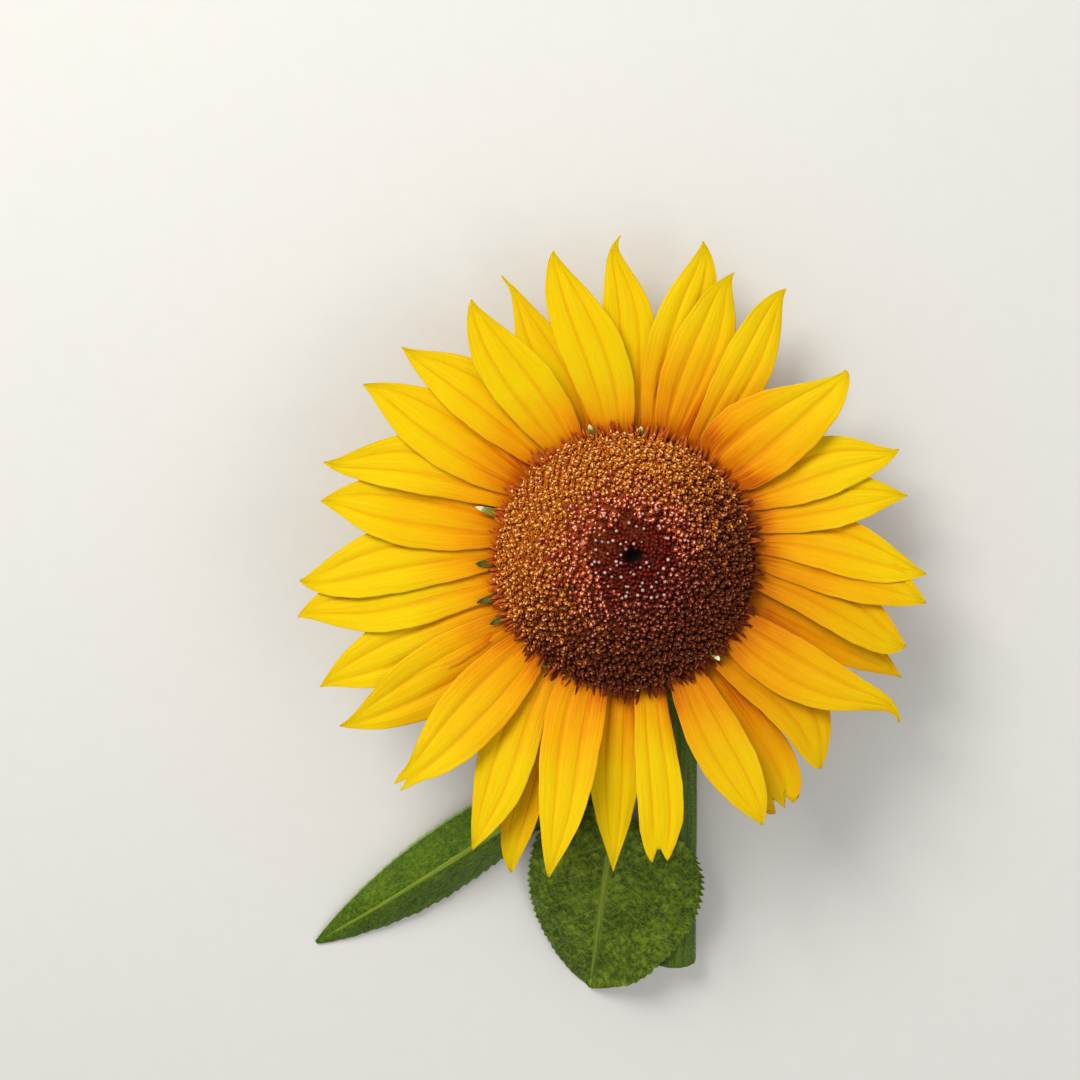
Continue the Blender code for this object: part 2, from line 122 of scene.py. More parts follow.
def smooth_line(points, radii, step):
    """Resamples the line at about this step along a curve that passes through its points."""
    knots = np.array([(*p, r) for p, r in zip(points, radii)])
    knots = np.vstack([2 * knots[0] - knots[1], knots, 2 * knots[-1] - knots[-2]])
    made = []
    for index in range(1, len(knots) - 2):
        before, first, second, after = knots[index - 1 : index + 3]
        bend = 2 * before - 5 * first + 4 * second - after
        twist = 3 * first - before - 3 * second + after
        count = max(1, round(float(np.linalg.norm((second - first)[:3])) / step))
        for t in np.arange(count) / count:
            made.append(0.5 * (2 * first + (second - before) * t + bend * t**2 + twist * t**3))
    made = np.array([*made, knots[-2]])
    return made[:, :3], made[:, 3]


def full_turn(count):
    """The angles of this many columns round a ring."""
    return np.linspace(0.0, 2 * math.pi, count, endpoint=False)


def ring_points(radius, turn, height):
    """Points round an upright axis."""
    return np.stack([radius * np.cos(turn), radius * np.sin(turn), height + 0 * turn], axis=-1)


def tube_points(line, up, turn, reach):
    """Rings of points round a line, carried along it without twisting, this far out at each ring and turn."""
    along = np.gradient(line, axis=0)
    along /= np.linalg.norm(along, axis=1, keepdims=True)
    side = np.cross(along[0], np.array(up))
    sides = []
    for direction in along:
        side = side - direction * (side @ direction)
        side = side / np.linalg.norm(side)
        sides.append(side)
    sides = np.array(sides)
    flat, high = (reach * np.cos(turn))[..., None], (reach * np.sin(turn))[..., None]
    return line[:, None] + sides[:, None] * flat + np.cross(sides, along)[:, None] * high


def four_corners(grid):
    """What a grid holds at the four corners of each of its squares."""
    return np.stack([grid[:-1, :-1], grid[1:, :-1], grid[1:, 1:], grid[:-1, 1:]], axis=2)


def mesh_from(name, points, shares=None, wrap=False, caps=False):
    """A mesh over rows by columns of points, with its shares across and along as its UV map. wrap joins its
    last column to its first, and caps closes both ends."""
    rows, columns = points.shape[:2]
    index = np.arange(rows * columns).reshape(rows, columns)
    ends = [index[0].tolist(), index[-1, ::-1].tolist()] if caps else []
    if wrap:
        index = np.hstack([index, index[:, :1]])
    mesh = bpy.data.meshes.new(name)
    mesh.from_pydata(points.reshape(-1, 3).tolist(), [], four_corners(index).reshape(-1, 4).tolist() + ends)
    if shares is not None:
        across, along = np.broadcast_arrays(*shares)
        if wrap:
            across = np.hstack([across, np.ones((rows, 1))])
            along = np.hstack([along, along[:, :1]])
        flat = four_corners(np.stack([across, along], axis=-1)).reshape(-1, 2)
        values = np.zeros((len(mesh.loops), 2), np.float32)
        values[: len(flat)] = flat
        mesh.uv_layers.new(name="surface").data.foreach_set("uv", values.ravel())
    return mesh


def face_out(mesh):
    """Turns the faces of a closed mesh outwards."""
    shape = bmesh.new()
    shape.from_mesh(mesh)
    bmesh.ops.recalc_face_normals(shape, faces=shape.faces)
    shape.to_mesh(mesh)
    shape.free()


def closed_mesh(name, points, shares=None):
    """A mesh over rings of points, closed at both ends."""
    mesh = mesh_from(name, points, shares, wrap=True, caps=True)
    face_out(mesh)
    return mesh


def keep(mesh, name, values):
    """Keeps a float on each vertex."""
    mesh.attributes.new(name, "FLOAT", "POINT").data.foreach_set("value", np.ravel(values).astype(np.float32))


def show(name, mesh, material=None):
    """The mesh as a smooth object, with its place in its mesh."""
    piece = bpy.data.objects.new(name, mesh)
    bpy.context.scene.collection.objects.link(piece)
    if material is not None:
        mesh.materials.clear()
        mesh.materials.append(material)
    mesh.shade_smooth()
    return piece


def add_piece(name, mesh, material, slot, *nodes, thickness=0.0):
    """A piece of the flower, given its thickness if it is a sheet. It goes with the flower's one body, takes
    the given material and stands for the nodes. The slot is not used."""
    piece = show(name, mesh, material)
    if thickness:
        shell = piece.modifiers.new("thickness", "SOLIDIFY")
        shell.thickness = thickness
        shell.offset = -1.0
        shell.use_even_offset = False
    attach(piece, "root")
    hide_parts(*nodes)


def add_node(tree, kind, *numbered, **named):
    """A node. Its settings are in small letters, and its inputs are numbered or have a capital."""
    made = tree.nodes.new(kind)
    inputs = dict(enumerate(numbered))
    for label, value in named.items():
        if label.islower():
            setattr(made, label, value)
        else:
            inputs[label.replace("_", " ")] = value
    for label, value in inputs.items():
        if isinstance(value, bpy.types.NodeSocket):
            tree.links.new(value, made.inputs[label])
        elif value is not None:
            made.inputs[label].default_value = value
    return made


class Finish:
    """A material in the making: a Principled shader, and what colours, roughens and raises it."""

    def __init__(self, name, roughness, **sockets):
        self.material = bpy.data.materials.new(name)
        self.material.use_nodes = True
        self.tree = self.material.node_tree
        self.shader = self.tree.nodes["Principled BSDF"]
        for label, value in dict(sockets, Roughness=roughness).items():
            self.shader.inputs[label.replace("_", " ")].default_value = value

    def add(self, kind, *numbered, **named):
        return add_node(self.tree, "ShaderNode" + kind, *numbered, **named)

    def through(self):
        """Places in the piece's own space."""
        return self.add("Mapping", Vector=self.add("TexCoord").outputs["Object"]).outputs["Vector"]

    def over(self, across=1.0, along=1.0):
        """Places on the piece's surface, stretched across and along it."""
        place = self.add("UVMap", uv_map="surface").outputs["UV"]
        return self.add("Mapping", Vector=place, Scale=(across, along, 1.0)).outputs["Vector"]

    def share(self, axis):
        """How far across (X) or along (Y) the piece a place lies."""
        return self.add("SeparateXYZ", self.over()).outputs[axis]

    def noise(self, place, scale, detail, roughness=0.5, distortion=0.0):
        sizes = dict(Scale=scale, Detail=detail, Roughness=roughness, Distortion=distortion)
        return self.add("TexNoise", Vector=place, **sizes).outputs["Fac"]

    def grain(self, scale, detail=2.0, roughness=0.5):
        return self.noise(self.through(), scale, detail, roughness)

    def streaks(self, across, along, *detail):
        return self.noise(self.over(across, along), 1.0, *detail)

    def cells(self, scale):
        made = self.add("TexVoronoi", feature="DISTANCE_TO_EDGE", Vector=self.through(), Scale=scale)
        return made.outputs["Distance"]

    def kept(self, name):
        """A float that is kept on the mesh."""
        return self.add("Attribute", attribute_name=name).outputs["Fac"]

    def maths(self, operation, *values):
        return self.add("Math", *values, operation=operation).outputs[0]

    def ranged(self, value, low, high, to_low=0.0, to_high=1.0):
        made = self.add("MapRange", Value=value, From_Min=low, From_Max=high, To_Min=to_low, To_Max=to_high)
        return made.outputs["Result"]

    def ramp(self, value, *stops):
        made = self.add("ValToRGB", value)
        for _ in stops[2:]:
            made.color_ramp.elements.new(0.5)
        for element, (place, colour) in zip(made.color_ramp.elements, stops):
            element.position = place
            element.color = (*colour, 1.0)
        return made.outputs["Color"]

    def stirred(self, value, noise, by, low=0.3, high=0.7):
        """The value, pushed down or up by the noise."""
        return self.maths("ADD", value, self.ranged(noise, low, high, -by, by))

    def tint(self, colour, second, share, *span):
        """Mixes this share of a second colour into the first, or what the span makes of it."""
        share = self.ranged(share, *span) if span else share
        return self.add("Mix", share, *[None] * 5, colour, (*second, 1.0), data_type="RGBA").outputs[2]

    def finished(self, colour, rough, *bumps):
        """The material: what roughens it between which values, and bumps, each a height and its distance."""
        made = {"Base Color": colour}
        if rough is not None:
            value, low, high = rough
            made["Roughness"] = self.ranged(value, 0.3, 0.7, low, high)
        for height, distance in bumps:
            bump = self.add("Bump", Height=height, Distance=distance, Normal=made.get("Normal"))
            made["Normal"] = bump.outputs["Normal"]
        for label, source in made.items():
            self.tree.links.new(source, self.shader.inputs[label])
        return self.material


def stem_green():
    # its own green, darkened all over as painted shade for the shade that the petals cast where the stem
    # shows between them
    skin = Finish("stem skin", 0.5, Specular_IOR_Level=0.2)
    streaks = skin.streaks(42.0, 5.0, 4.0, 0.6)
    blotches = skin.grain(55.0, 4.0, 0.6)
    green = skin.ramp(
        streaks, (0.28, (0.032, 0.062, 0.002)), (0.50, (0.060, 0.110, 0.004)), (0.74, (0.115, 0.170, 0.010))
    )
    green = skin.tint(green, (0.12, 0.13, 0.010), blotches, 0.52, 0.78, 0.0, 0.45)
    return skin.finished(green, (blotches, 0.40, 0.60), (streaks, 0.0005), (skin.grain(900.0), 0.00012))


class Growth:
    """A Geometry Nodes tree in the making, for copies of a shape on points. numbers names plain inputs."""

    def __init__(self, name, numbers, **others):
        self.tree = bpy.data.node_groups.new(name, "GeometryNodeTree")
        kinds = dict(Geometry="Geometry", Seed="Int", Material="Material", **others)
        kinds.update(dict.fromkeys(numbers.split(), "Float"))
        self.keys = {}
        for label, kind in kinds.items():
            made = self.tree.interface.new_socket(
                name=label.replace("_", " "), in_out="INPUT", socket_type="NodeSocket" + kind
            )
            self.keys[label] = made.identifier
        self.tree.interface.new_socket(name="Geometry", in_out="OUTPUT", socket_type="NodeSocketGeometry")
        self.given = self.tree.nodes.new("NodeGroupInput").outputs

    def add(self, kind, *numbered, **named):
        return add_node(self.tree, kind, *numbered, **named)

    def maths(self, operation, *values):
        return self.add("ShaderNodeMath", *values, operation=operation).outputs[0]

    def random(self, low, high, shift):
        """A random number for each point. shift tells the draws apart."""
        seed = self.maths("ADD", self.given["Seed"], float(shift))
        made = self.add("FunctionNodeRandomValue", None, None, low, high, data_type="FLOAT", Seed=seed)
        return made.outputs[1]

    def turned(self, x, y, z):
        angles = self.add("ShaderNodeCombineXYZ", x, y, z).outputs[0]
        return self.add("FunctionNodeEulerToRotation", angles).outputs[0]

    def plant(self, points, chosen, shape, stand, swing, size):
        """Sets a copy on each chosen point, swung from how it stands, and makes the copies real."""
        facing = self.add("FunctionNodeRotateRotation", stand, swing, rotation_space="LOCAL").outputs[0]
        places = dict(Points=points, Selection=chosen, Instance=shape, Rotation=facing, Scale=size)
        copies = self.add("GeometryNodeInstanceOnPoints", **places).outputs[0]
        real = self.add("GeometryNodeRealizeInstances", copies).outputs[0]
        painted = self.add("GeometryNodeSetMaterial", Geometry=real, Material=self.given["Material"])
        self.add("NodeGroupOutput", painted.outputs[0])

    def grown(self, name, carrier, **inputs):
        """Runs the tree on a carrier mesh and keeps what it makes as a plain mesh."""
        holder = bpy.data.objects.new(name, carrier)
        bpy.context.scene.collection.objects.link(holder)
        growth = holder.modifiers.new("growth", "NODES")
        growth.node_group = self.tree
        for label, value in inputs.items():
            growth[self.keys[label]] = value
        bpy.context.view_layer.update()
        graph = bpy.context.evaluated_depsgraph_get()
        mesh = bpy.data.meshes.new_from_object(holder.evaluated_get(graph))
        mesh.name = name
        bpy.data.objects.remove(holder)
        return mesh


def hair_growth():
    """Short tapering hairs on a mesh's faces, above the ground and as close as its hairy value says."""
    hair = Growth("hairs", "Density Length Thickness Lean Lowest")
    give, maths = hair.given, hair.maths
    hairy = hair.add("GeometryNodeInputNamedAttribute", data_type="FLOAT", Name="hairy").outputs[0]
    spread = dict(Mesh=give["Geometry"], Density=maths("MULTIPLY", give["Density"], hairy), Seed=give["Seed"])
    feet = hair.add("GeometryNodeDistributePointsOnFaces", **spread).outputs
    sizes = dict(Vertices=3, Radius_Top=0.0, Radius_Bottom=give["Thickness"], Depth=give["Length"])
    cone = hair.add("GeometryNodeMeshCone", fill_type="NONE", **sizes).outputs["Mesh"]
    height = hair.add("ShaderNodeSeparateXYZ", hair.add("GeometryNodeInputPosition").outputs[0]).outputs["Z"]
    above = maths("GREATER_THAN", height, give["Lowest"])
    lean = [maths("MULTIPLY", hair.random(-1.0, 1.0, shift), give["Lean"]) for shift in (1, 2)]
    size = hair.random(0.45, 1.0, 3)
    hair.plant(feet["Points"], above, cone, feet["Rotation"], hair.turned(*lean, 0.0), size)
    return hair


def hair_pale():
    hair = Finish("pale hairs", 0.45, Sheen_Weight=0.3)
    shade = hair.grain(300.0, 1.0)
    tone = hair.ramp(shade, (0.35, (0.36, 0.42, 0.16)), (0.65, (0.55, 0.60, 0.32)))
    return hair.finished(tone, (shade, 0.4, 0.6))


hairs = hair_growth()
hair_finish = hair_pale()


def add_with_hairs(name, mesh, material, slot, *nodes, hair_name, thickness=0.0, **sizes):
    """A piece of the flower, and over it hairs of these sizes as a piece of their own."""
    hair_mesh = hairs.grown(hair_name, mesh, Material=hair_finish, **sizes)
    add_piece(name, mesh, material, slot, *nodes, thickness=thickness)
    add_piece(hair_name, hair_mesh, None, slot, *nodes)


neck_points, neck_radii = neck_line()
stem_points, stem_radii = stem_line()
line, radii = smooth_line([*neck_points, *stem_points[1:]], [*neck_radii, *stem_radii[1:]], SKIN_STEP)
around = full_turn(STEM_SIDES)[None, :]
run = np.arange(len(line))[:, None] * SKIN_STEP
rib = 0.5 - 0.5 * np.cos(RIBS * around + RIB_WANDER * np.sin(run * 38.0))
lump = LUMP_DEPTHS[0] * np.sin(3 * around + run * 90.0)
lump = lump + LUMP_DEPTHS[1] * np.sin(5 * around - run * 61.0 + 1.0)
reach = radii[:, None] * (1.0 - SKIN_INSET - RIB_DEPTH * rib + lump)
skin_points = tube_points(line, (1.0, 0.0, 0.0), around, reach)
skin_points[..., 2] = np.maximum(skin_points[..., 2], SKIN_LOWEST)
stem_mesh = closed_mesh("stem_skin", skin_points, (around / (2 * math.pi), run / run.max()))
keep(stem_mesh, "hairy", np.broadcast_to((run > BARE_AT_HEAD) & (run < run.max() - BARE_AT_CUT), reach.shape))
add_with_hairs(
    "stem_skin", stem_mesh, stem_green(), "stem", "stem", "neck",
    hair_name="stem_hairs",
    Density=420000.0, Length=0.0016, Thickness=0.00008, Lean=0.5, Lowest=0.0019, Seed=3,
)

# ---------------------------------------------------------------- cut end
# The slanting knife cut that closes the stem: a thin green skin, a ring of stringy pale rind and a core of
# white spongy pith. It is a shallow plate of rings pressed into the stem's end.

CUT_RINGS = 22
CUT_DEPTH = 0.0006
CUT_WIDTH = 0.992
CUT_PROUD = 0.00005
CUT_SLACK = 0.00008
CUT_MIDDLE = 0.004


def pith_finish():
    pith = Finish("stem pith", 0.85, Subsurface_Weight=0.15, Subsurface_Scale=0.002)
    fibres = pith.streaks(70.0, 2.0, 2.0)
    sponge = pith.cells(1500.0)
    tone = pith.ramp(
        pith.stirred(pith.share("Y"), fibres, 0.03),
        (0.0, (0.74, 0.76, 0.56)),
        (0.70, (0.70, 0.74, 0.50)),
        (0.76, (0.36, 0.46, 0.17)),
        (0.88, (0.45, 0.52, 0.24)),
        (0.97, (0.10, 0.20, 0.04)),
    )
    tone = pith.tint(tone, (0.40, 0.38, 0.20), sponge, 0.0, 0.12, 0.25, 0.0)
    return pith.finished(tone, (fibres, 0.75, 0.95), (sponge, 0.0003), (fibres, 0.0002))


edge_ring = skin_points[-1]
cut_centre = edge_ring.mean(axis=0)
out_along = line[-1] - line[-4]
out_along /= np.linalg.norm(out_along)
rings = np.linspace(1.0, 0.0, CUT_RINGS)[:, None]
rings[-1] = CUT_MIDDLE
slack = np.sin(np.linspace(0.0, 12.0, CUT_RINGS))[:, None] * CUT_SLACK * np.cos(5 * around + 1.0)
sunk = CUT_DEPTH * (0.9 - rings**3) * 0.3 + slack
cut_points = cut_centre + (edge_ring[None] - cut_centre) * rings[:, :, None] * CUT_WIDTH
cut_points = cut_points + out_along * (CUT_PROUD + CUT_DEPTH * 0.4 - sunk[..., None])
cut_points = np.concatenate([cut_points[:1] - out_along * CUT_DEPTH, cut_points])
cut_shares = (around / (2 * math.pi), np.concatenate([[[1.0]], rings]))
add_piece("stem_cut", closed_mesh("stem_cut", cut_points, cut_shares), pith_finish(), "stem", "stem")

# ---------------------------------------------------------------- receptacle and bracts
# The green back of the head: a shallow fleshy bowl that the neck flares into, with three rings of pointed
# leafy scales rooted on it. The scales are thin plates with a raised midrib, bent flat where they meet the
# ground, and fringed with hairs.

BRACT_ROWS = 44
BRACT_COLUMNS = 16
BRACT_THICKNESS = 0.0007
BRACT_CLEARANCE = 1.2
BRACT_ROOT_SINK = 0.004
BRACT_RINGS = {
    # count, first azimuth, height of the root, rise at the root and at the tip, length, width
    "collar": (29, 3.0, -0.0047, 30.0, 2.0, 0.0215, 0.0150),
    "inner": (13, 7.0, -0.0065, -8.0, -26.0, 0.036, 0.0195),
    "outer": (13, 20.8, -0.0110, -30.0, -44.0, 0.039, 0.0205),
}
BRACT_RIB = 0.00035
BRACT_VEIN = 0.00010
BRACT_TIP_WIDTH = 0.0005
BRACT_RAGGED = 0.035
BRACT_CUP = 0.18
BRACT_RIPPLE = 0.0004
BRACT_BEND = 0.0022
BOWL_SIDES = 156
BOWL_STEPS = 22
BOWL_RIM = 0.004
BOWL_FACE = -0.0005
FURROWS = 26
FURROW_DEPTH = 0.0006
POLE_RADIUS = 0.0002


def in_world(points):
    """Points of the head's frame, placed in the flower's."""
    turn = np.array(HEAD.to_3x3())
    return points @ turn.T + np.array(HEAD_AT)


def slope_curve(length, start, end, share):
    """Height gained after this share of a level run that starts at one slope and ends at another."""
    rise = math.tan(math.radians(start)) * (share - share**2 / 2)
    return length * (rise + math.tan(math.radians(end)) * share**2 / 2)


def ground_in_head(y):
    """Height of the ground in the head's frame at this Y of the head's frame."""
    return (y * math.sin(HEAD_LEAN) - HEAD_AT.z) / math.cos(HEAD_LEAN)


def hump(value, width, power=2):
    """1 where the value is nought, falling away on both sides over this width."""
    return np.exp(-((value / width) ** power))


def sheet_grid(rows, columns):
    """Shares along (0 to 1) and across (-1 to 1) for a sheet."""
    return np.meshgrid(np.linspace(0.0, 1.0, rows), np.linspace(-1.0, 1.0, columns), indexing="ij")


def bract_points(azimuth, root_height, rise_root, rise_tip, length, width, draw):
    """One scale in the head's frame: egg-shaped, drawn out to a thread-like tip."""
    share, side = sheet_grid(BRACT_ROWS, BRACT_COLUMNS + 1)
    along = np.array(heading(azimuth))
    across = np.array(heading(azimuth + 90))
    bend = draw.uniform(-BRACT_BEND, BRACT_BEND)
    wave = draw.uniform(0.0, 6.28)
    root = RECEPTACLE_RADIUS - 0.004 - BRACT_ROOT_SINK
    run = root + length * share * math.cos(math.radians(rise_root + rise_tip) / 2)
    half = width / 2 * (1 - share) ** 0.85 * (0.8 + 0.85 * share)
    half = half + BRACT_TIP_WIDTH * (1 - 0.6 * share)
    half = half * (1 + BRACT_RAGGED * np.sin(share * 23.0 + wave) * np.sign(side))
    height = root_height + slope_curve(length * 0.9, rise_root, rise_tip, share)
    height = height + BRACT_CUP * half * side**2 + draw.uniform(-0.001, 0.002) * share**2
    rib = hump(side, 0.10) * BRACT_RIB * (1 - share)
    veins = BRACT_VEIN * np.cos(side * 15.0) * (1 - share) * (np.abs(side) > 0.12)
    height = height + rib + veins + BRACT_RIPPLE * np.sin(share * 15.0 + wave + side * 2.0) * side**2
    points = along * run[..., None] + across * (half * side + bend * share**2)[..., None]
    floor = ground_in_head(points[..., 1]) + BRACT_THICKNESS * BRACT_CLEARANCE
    points[..., 2] = np.maximum(height, floor + np.abs(rib + veins))
    return points, share, side


def join_meshes(name, meshes):
    """One mesh of several loose ones, with their surface shares and kept values."""
    shape = bmesh.new()
    for mesh in meshes:
        shape.from_mesh(mesh)
    joined = bpy.data.meshes.new(name)
    shape.to_mesh(joined)
    shape.free()
    for mesh in meshes:
        bpy.data.meshes.remove(mesh)
    return joined


FLESHY = dict(Specular_IOR_Level=0.15, Subsurface_Weight=0.08)


def bract_green():
    leafy = Finish("bract green", 0.6, Subsurface_Scale=0.001, **FLESHY)
    veins = leafy.streaks(16.0, 1.2, 3.0)
    blotches = leafy.grain(120.0, 4.0, 0.6)
    green = leafy.ramp(
        leafy.share("Y"),
        (0.0, (0.16, 0.23, 0.018)),
        (0.45, (0.10, 0.17, 0.008)),
        (0.93, (0.075, 0.13, 0.007)),
        (1.0, (0.14, 0.13, 0.025)),
    )
    green = leafy.tint(green, (0.20, 0.28, 0.045), veins, 0.45, 0.75, 0.0, 0.55)
    green = leafy.tint(green, (0.055, 0.12, 0.02), blotches, 0.5, 0.8, 0.0, 0.5)
    return leafy.finished(green, (blotches, 0.5, 0.7), (veins, 0.0003), (blotches, 0.0003))


def bowl_green():
    fleshy = Finish("receptacle green", 0.6, Subsurface_Scale=0.002, **FLESHY)
    streaks = fleshy.streaks(90.0, 2.5, 3.0)
    blotches = fleshy.grain(90.0, 3.0)
    green = fleshy.ramp(
        streaks, (0.3, (0.09, 0.16, 0.010)), (0.6, (0.15, 0.23, 0.020)), (0.8, (0.22, 0.29, 0.045))
    )
    green = fleshy.tint(green, (0.24, 0.28, 0.05), blotches, 0.5, 0.8, 0.0, 0.5)
    return fleshy.finished(green, (blotches, 0.5, 0.7), (streaks, 0.0004), (blotches, 0.0004))


bowl = [(POLE_RADIUS, BOWL_FACE), (0.030, BOWL_FACE), (RECEPTACLE_RADIUS - 0.0025, BOWL_FACE - 0.0001)]
for step in range(BOWL_STEPS + 1):
    quarter = math.pi / 2 * step / BOWL_STEPS
    wide = NECK_HEAD_RADIUS + (RECEPTACLE_RADIUS - NECK_HEAD_RADIUS) * math.cos(quarter) ** 0.8
    bowl.append((wide, -BOWL_RIM - (RECEPTACLE_DEPTH - BOWL_RIM) * math.sin(quarter)))
bowl.append((POLE_RADIUS, -RECEPTACLE_DEPTH))
bowl_radius, bowl_height = np.array(bowl).T[:, :, None]
bowl_turn = full_turn(BOWL_SIDES)[None, :]
furrow = FURROW_DEPTH * (np.cos(FURROWS * bowl_turn) - 1)
furrowed = bowl_radius + furrow * np.clip(bowl_radius / 0.05, 0, 1) ** 2
bowl_shares = (bowl_turn / (2 * math.pi), np.linspace(0.0, 1.0, len(bowl))[:, None])
bowl_mesh = closed_mesh("receptacle", in_world(ring_points(furrowed, bowl_turn, bowl_height)), bowl_shares)
add_piece("receptacle", bowl_mesh, bowl_green(), "bracts", "involucre")

bract_draw = np.random.default_rng(11)
scales = []
for ring, (count, first, *form) in BRACT_RINGS.items():
    for index in range(count):
        points, share, side = bract_points(first + 360.0 * index / count, *form, bract_draw)
        scale = mesh_from(f"bract {ring}", in_world(points), ((side + 1) / 2, share))
        keep(scale, "hairy", 0.15 + 3.0 * (np.abs(side) > 0.85) * (share < 0.9) * (share > 0.25))
        scales.append(scale)
add_with_hairs(
    "bracts", join_meshes("bracts", scales), bract_green(), "bracts", "involucre",
    hair_name="bract_hairs", thickness=BRACT_THICKNESS,
    Density=500000.0, Length=0.0017, Thickness=0.00007, Lean=0.9, Lowest=0.0016, Seed=5,
)

# ---------------------------------------------------------------- ray petals
# Thirty-two yellow petals in one crowded ring, each standing on a short claw at the receptacle's edge and
# shingled over or under its neighbours. Each is a thin pleated blade with two strong folds along it, orange
# at its root and clear yellow towards a drawn-out, hooked, split or curled tip.

PETAL_ROWS = 64
PETAL_FOOT_ROWS = 4
PETAL_COLUMNS = 36
PETAL_THICKNESS = 0.00035
PETAL_TIP_WIDTH = 0.0007
PETAL_CUP = 0.05
PETAL_BASE = 0.75
PETAL_POINT = 2.1
PETAL_TAPER = 1.2
CLAW_HALF_WIDTH = 0.0062
CLAW_PINCH = 0.55
RIDGE_HEIGHT = 0.00030
FOLDS = (-0.34, 0.34)
FOLD_DEPTH = 0.00060
VEINS = (-0.68, -0.05, 0.70)
VEIN_DEPTH = 0.00016
MARGIN_WAVE = 0.0007
RELIEF_HALF_WIDTH = 0.014
CLAW_STEP = 0.0004
SHINGLE_ROLL = 9.0
ROOT_EVENING = 0.75
LIGHT_AZIMUTH = 128.5
PETAL_LIES = {
    # radius and height at which the blade starts, and its rise there and at the tip
    "over": (0.0570, 0.0054, 22.0, 2.0),
    "shingled": (0.0583, 0.0034, 15.0, 0.0),
    "under": (0.0596, 0.0014, 8.0, -5.0),
}
